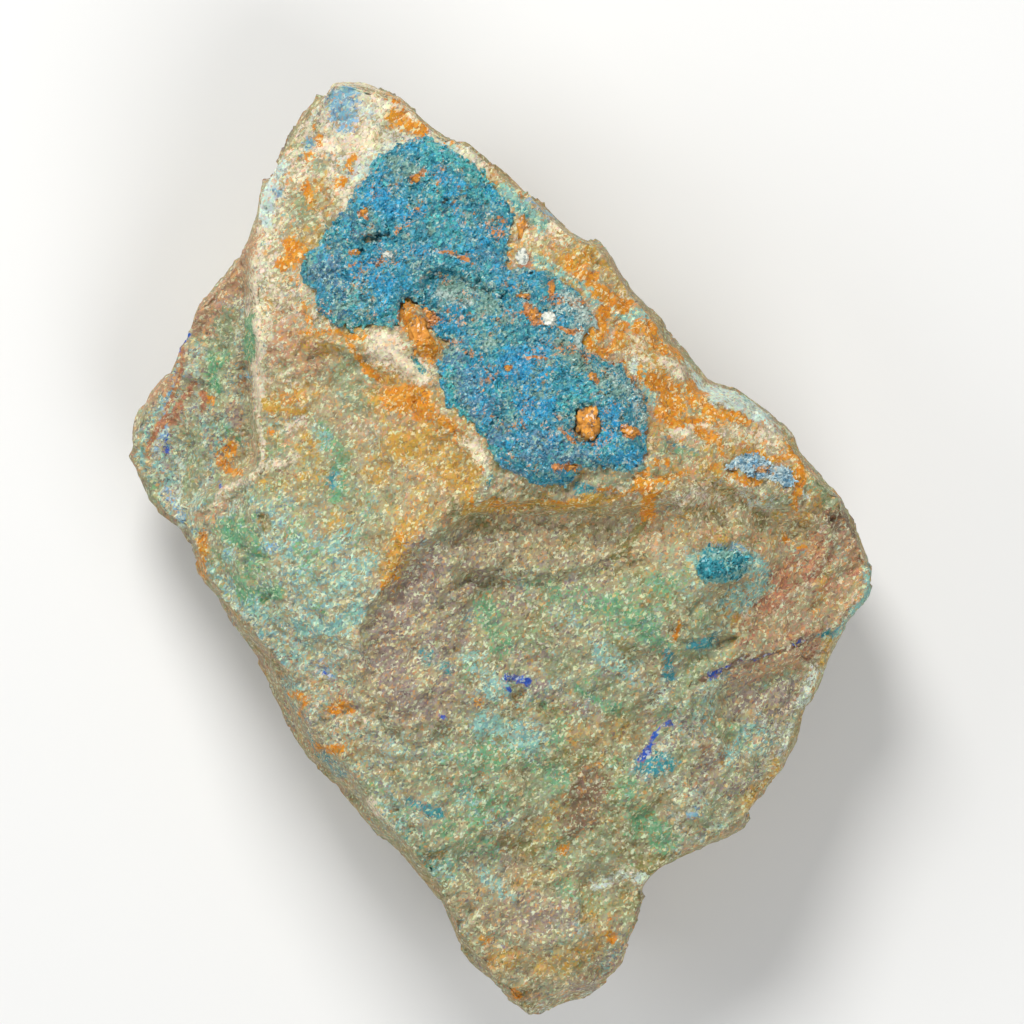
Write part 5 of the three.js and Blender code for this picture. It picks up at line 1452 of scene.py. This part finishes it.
# %% Grains
RUSTY_GRAINS = {  # place and half size along X, Y and up
    "oval grain": ((9.5, 13.8), (1.2, 1.7, 0.9)),
    "upper lump": ((-8.3, 25.9), (0.95, 0.85, 0.7)),
    "long lump": ((-9.0, 23.4), (1.0, 1.9, 0.9)),
    "small grain": ((-10.4, 26.6), (0.4, 0.45, 0.4)),
    "grain at the right": ((14.0, 12.8), (0.9, 0.5, 0.5)),
    "grain by the white one": ((3.6, 25.6), (0.6, 0.7, 0.5)),
    "upright grain": ((5.6, 28.4), (0.3, 0.75, 0.4)),
    "streak grain": ((2.4, 27.8), (0.85, 0.32, 0.35)),
    "neck grain": ((2.3, 35.2), (0.55, 1.3, 0.5)),
    "red grain": ((0.7, 19.8), (0.35, 0.32, 0.35)),
    "right grain, upper": ((10.0, 18.8), (0.5, 0.45, 0.4)),
    "grain in the left part": ((-15.1, 37.0), (0.4, 0.5, 0.35)),
    "grain at the left hole": ((-16.1, 32.5), (0.5, 0.35, 0.35)),
    "lower edge grain": ((7.2, 8.9), (1.1, 0.3, 0.3)),
    "grain near the top": ((-9.4, 40.8), (0.5, 0.45, 0.3)),
}
WHITE_GRAINS = {
    "white grain": ((5.2, 25.2), (0.85, 0.8, 0.65)),
    "white grain of the neck": ((2.3, 31.9), (0.8, 0.9, 0.5)),
    "cream grain": ((-12.4, 32.2), (0.6, 0.4, 0.4)),
    "pale sliver": ((-2.3, 35.5), (0.55, 0.25, 0.3)),
}


def lumpy_grains(name, grains, material):
    """Small lumpy balls standing half in the surface, joined into one mesh."""
    shape = bmesh.new()
    places = np.array([place for place, _ in grains.values()])
    levels = np.maximum(height_under(rock_tree, places), height_under(crust_tree, places))
    for (place, half), level in zip(grains.values(), levels):
        centre = Vector((*place, level - 0.25 * half[2]))
        for vert in bmesh.ops.create_icosphere(shape, subdivisions=4, radius=1.0)["verts"]:
            lump = 1 + 0.5 * noise.fractal(vert.co * 1.9 + centre, 0.7, 2.1, 4)
            vert.co = (centre + Vector(half) * lump * vert.co) * MM
    points = np.array([v.co for v in shape.verts]) / MM
    level_of = np.repeat(levels, len(points) // len(levels))
    # Painted shade: each grain is darker low down, where it meets the surface, and lighter on top.
    painted_shading = np.clip(0.35 + 0.9 * (points[:, 2] - level_of), 0, 1)
    piece = finished_piece(name, shape, points, {"painted_shading": painted_shading})
    piece.data.materials.append(material)
    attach(piece, "root")


crust_tree = tree_of(crust)
lumpy_grains(
    "limonite_grains", RUSTY_GRAINS,
    crystal_material("limonite", ((236, 166, 66), (176, 108, 30)), {}, 0.3, (0.5, 0.85)),
)
lumpy_grains(
    "carbonate_grains", WHITE_GRAINS,
    crystal_material("carbonate", ((244, 244, 232), (196, 200, 184)), {}, 0.3, (0.45, 0.8)),
)
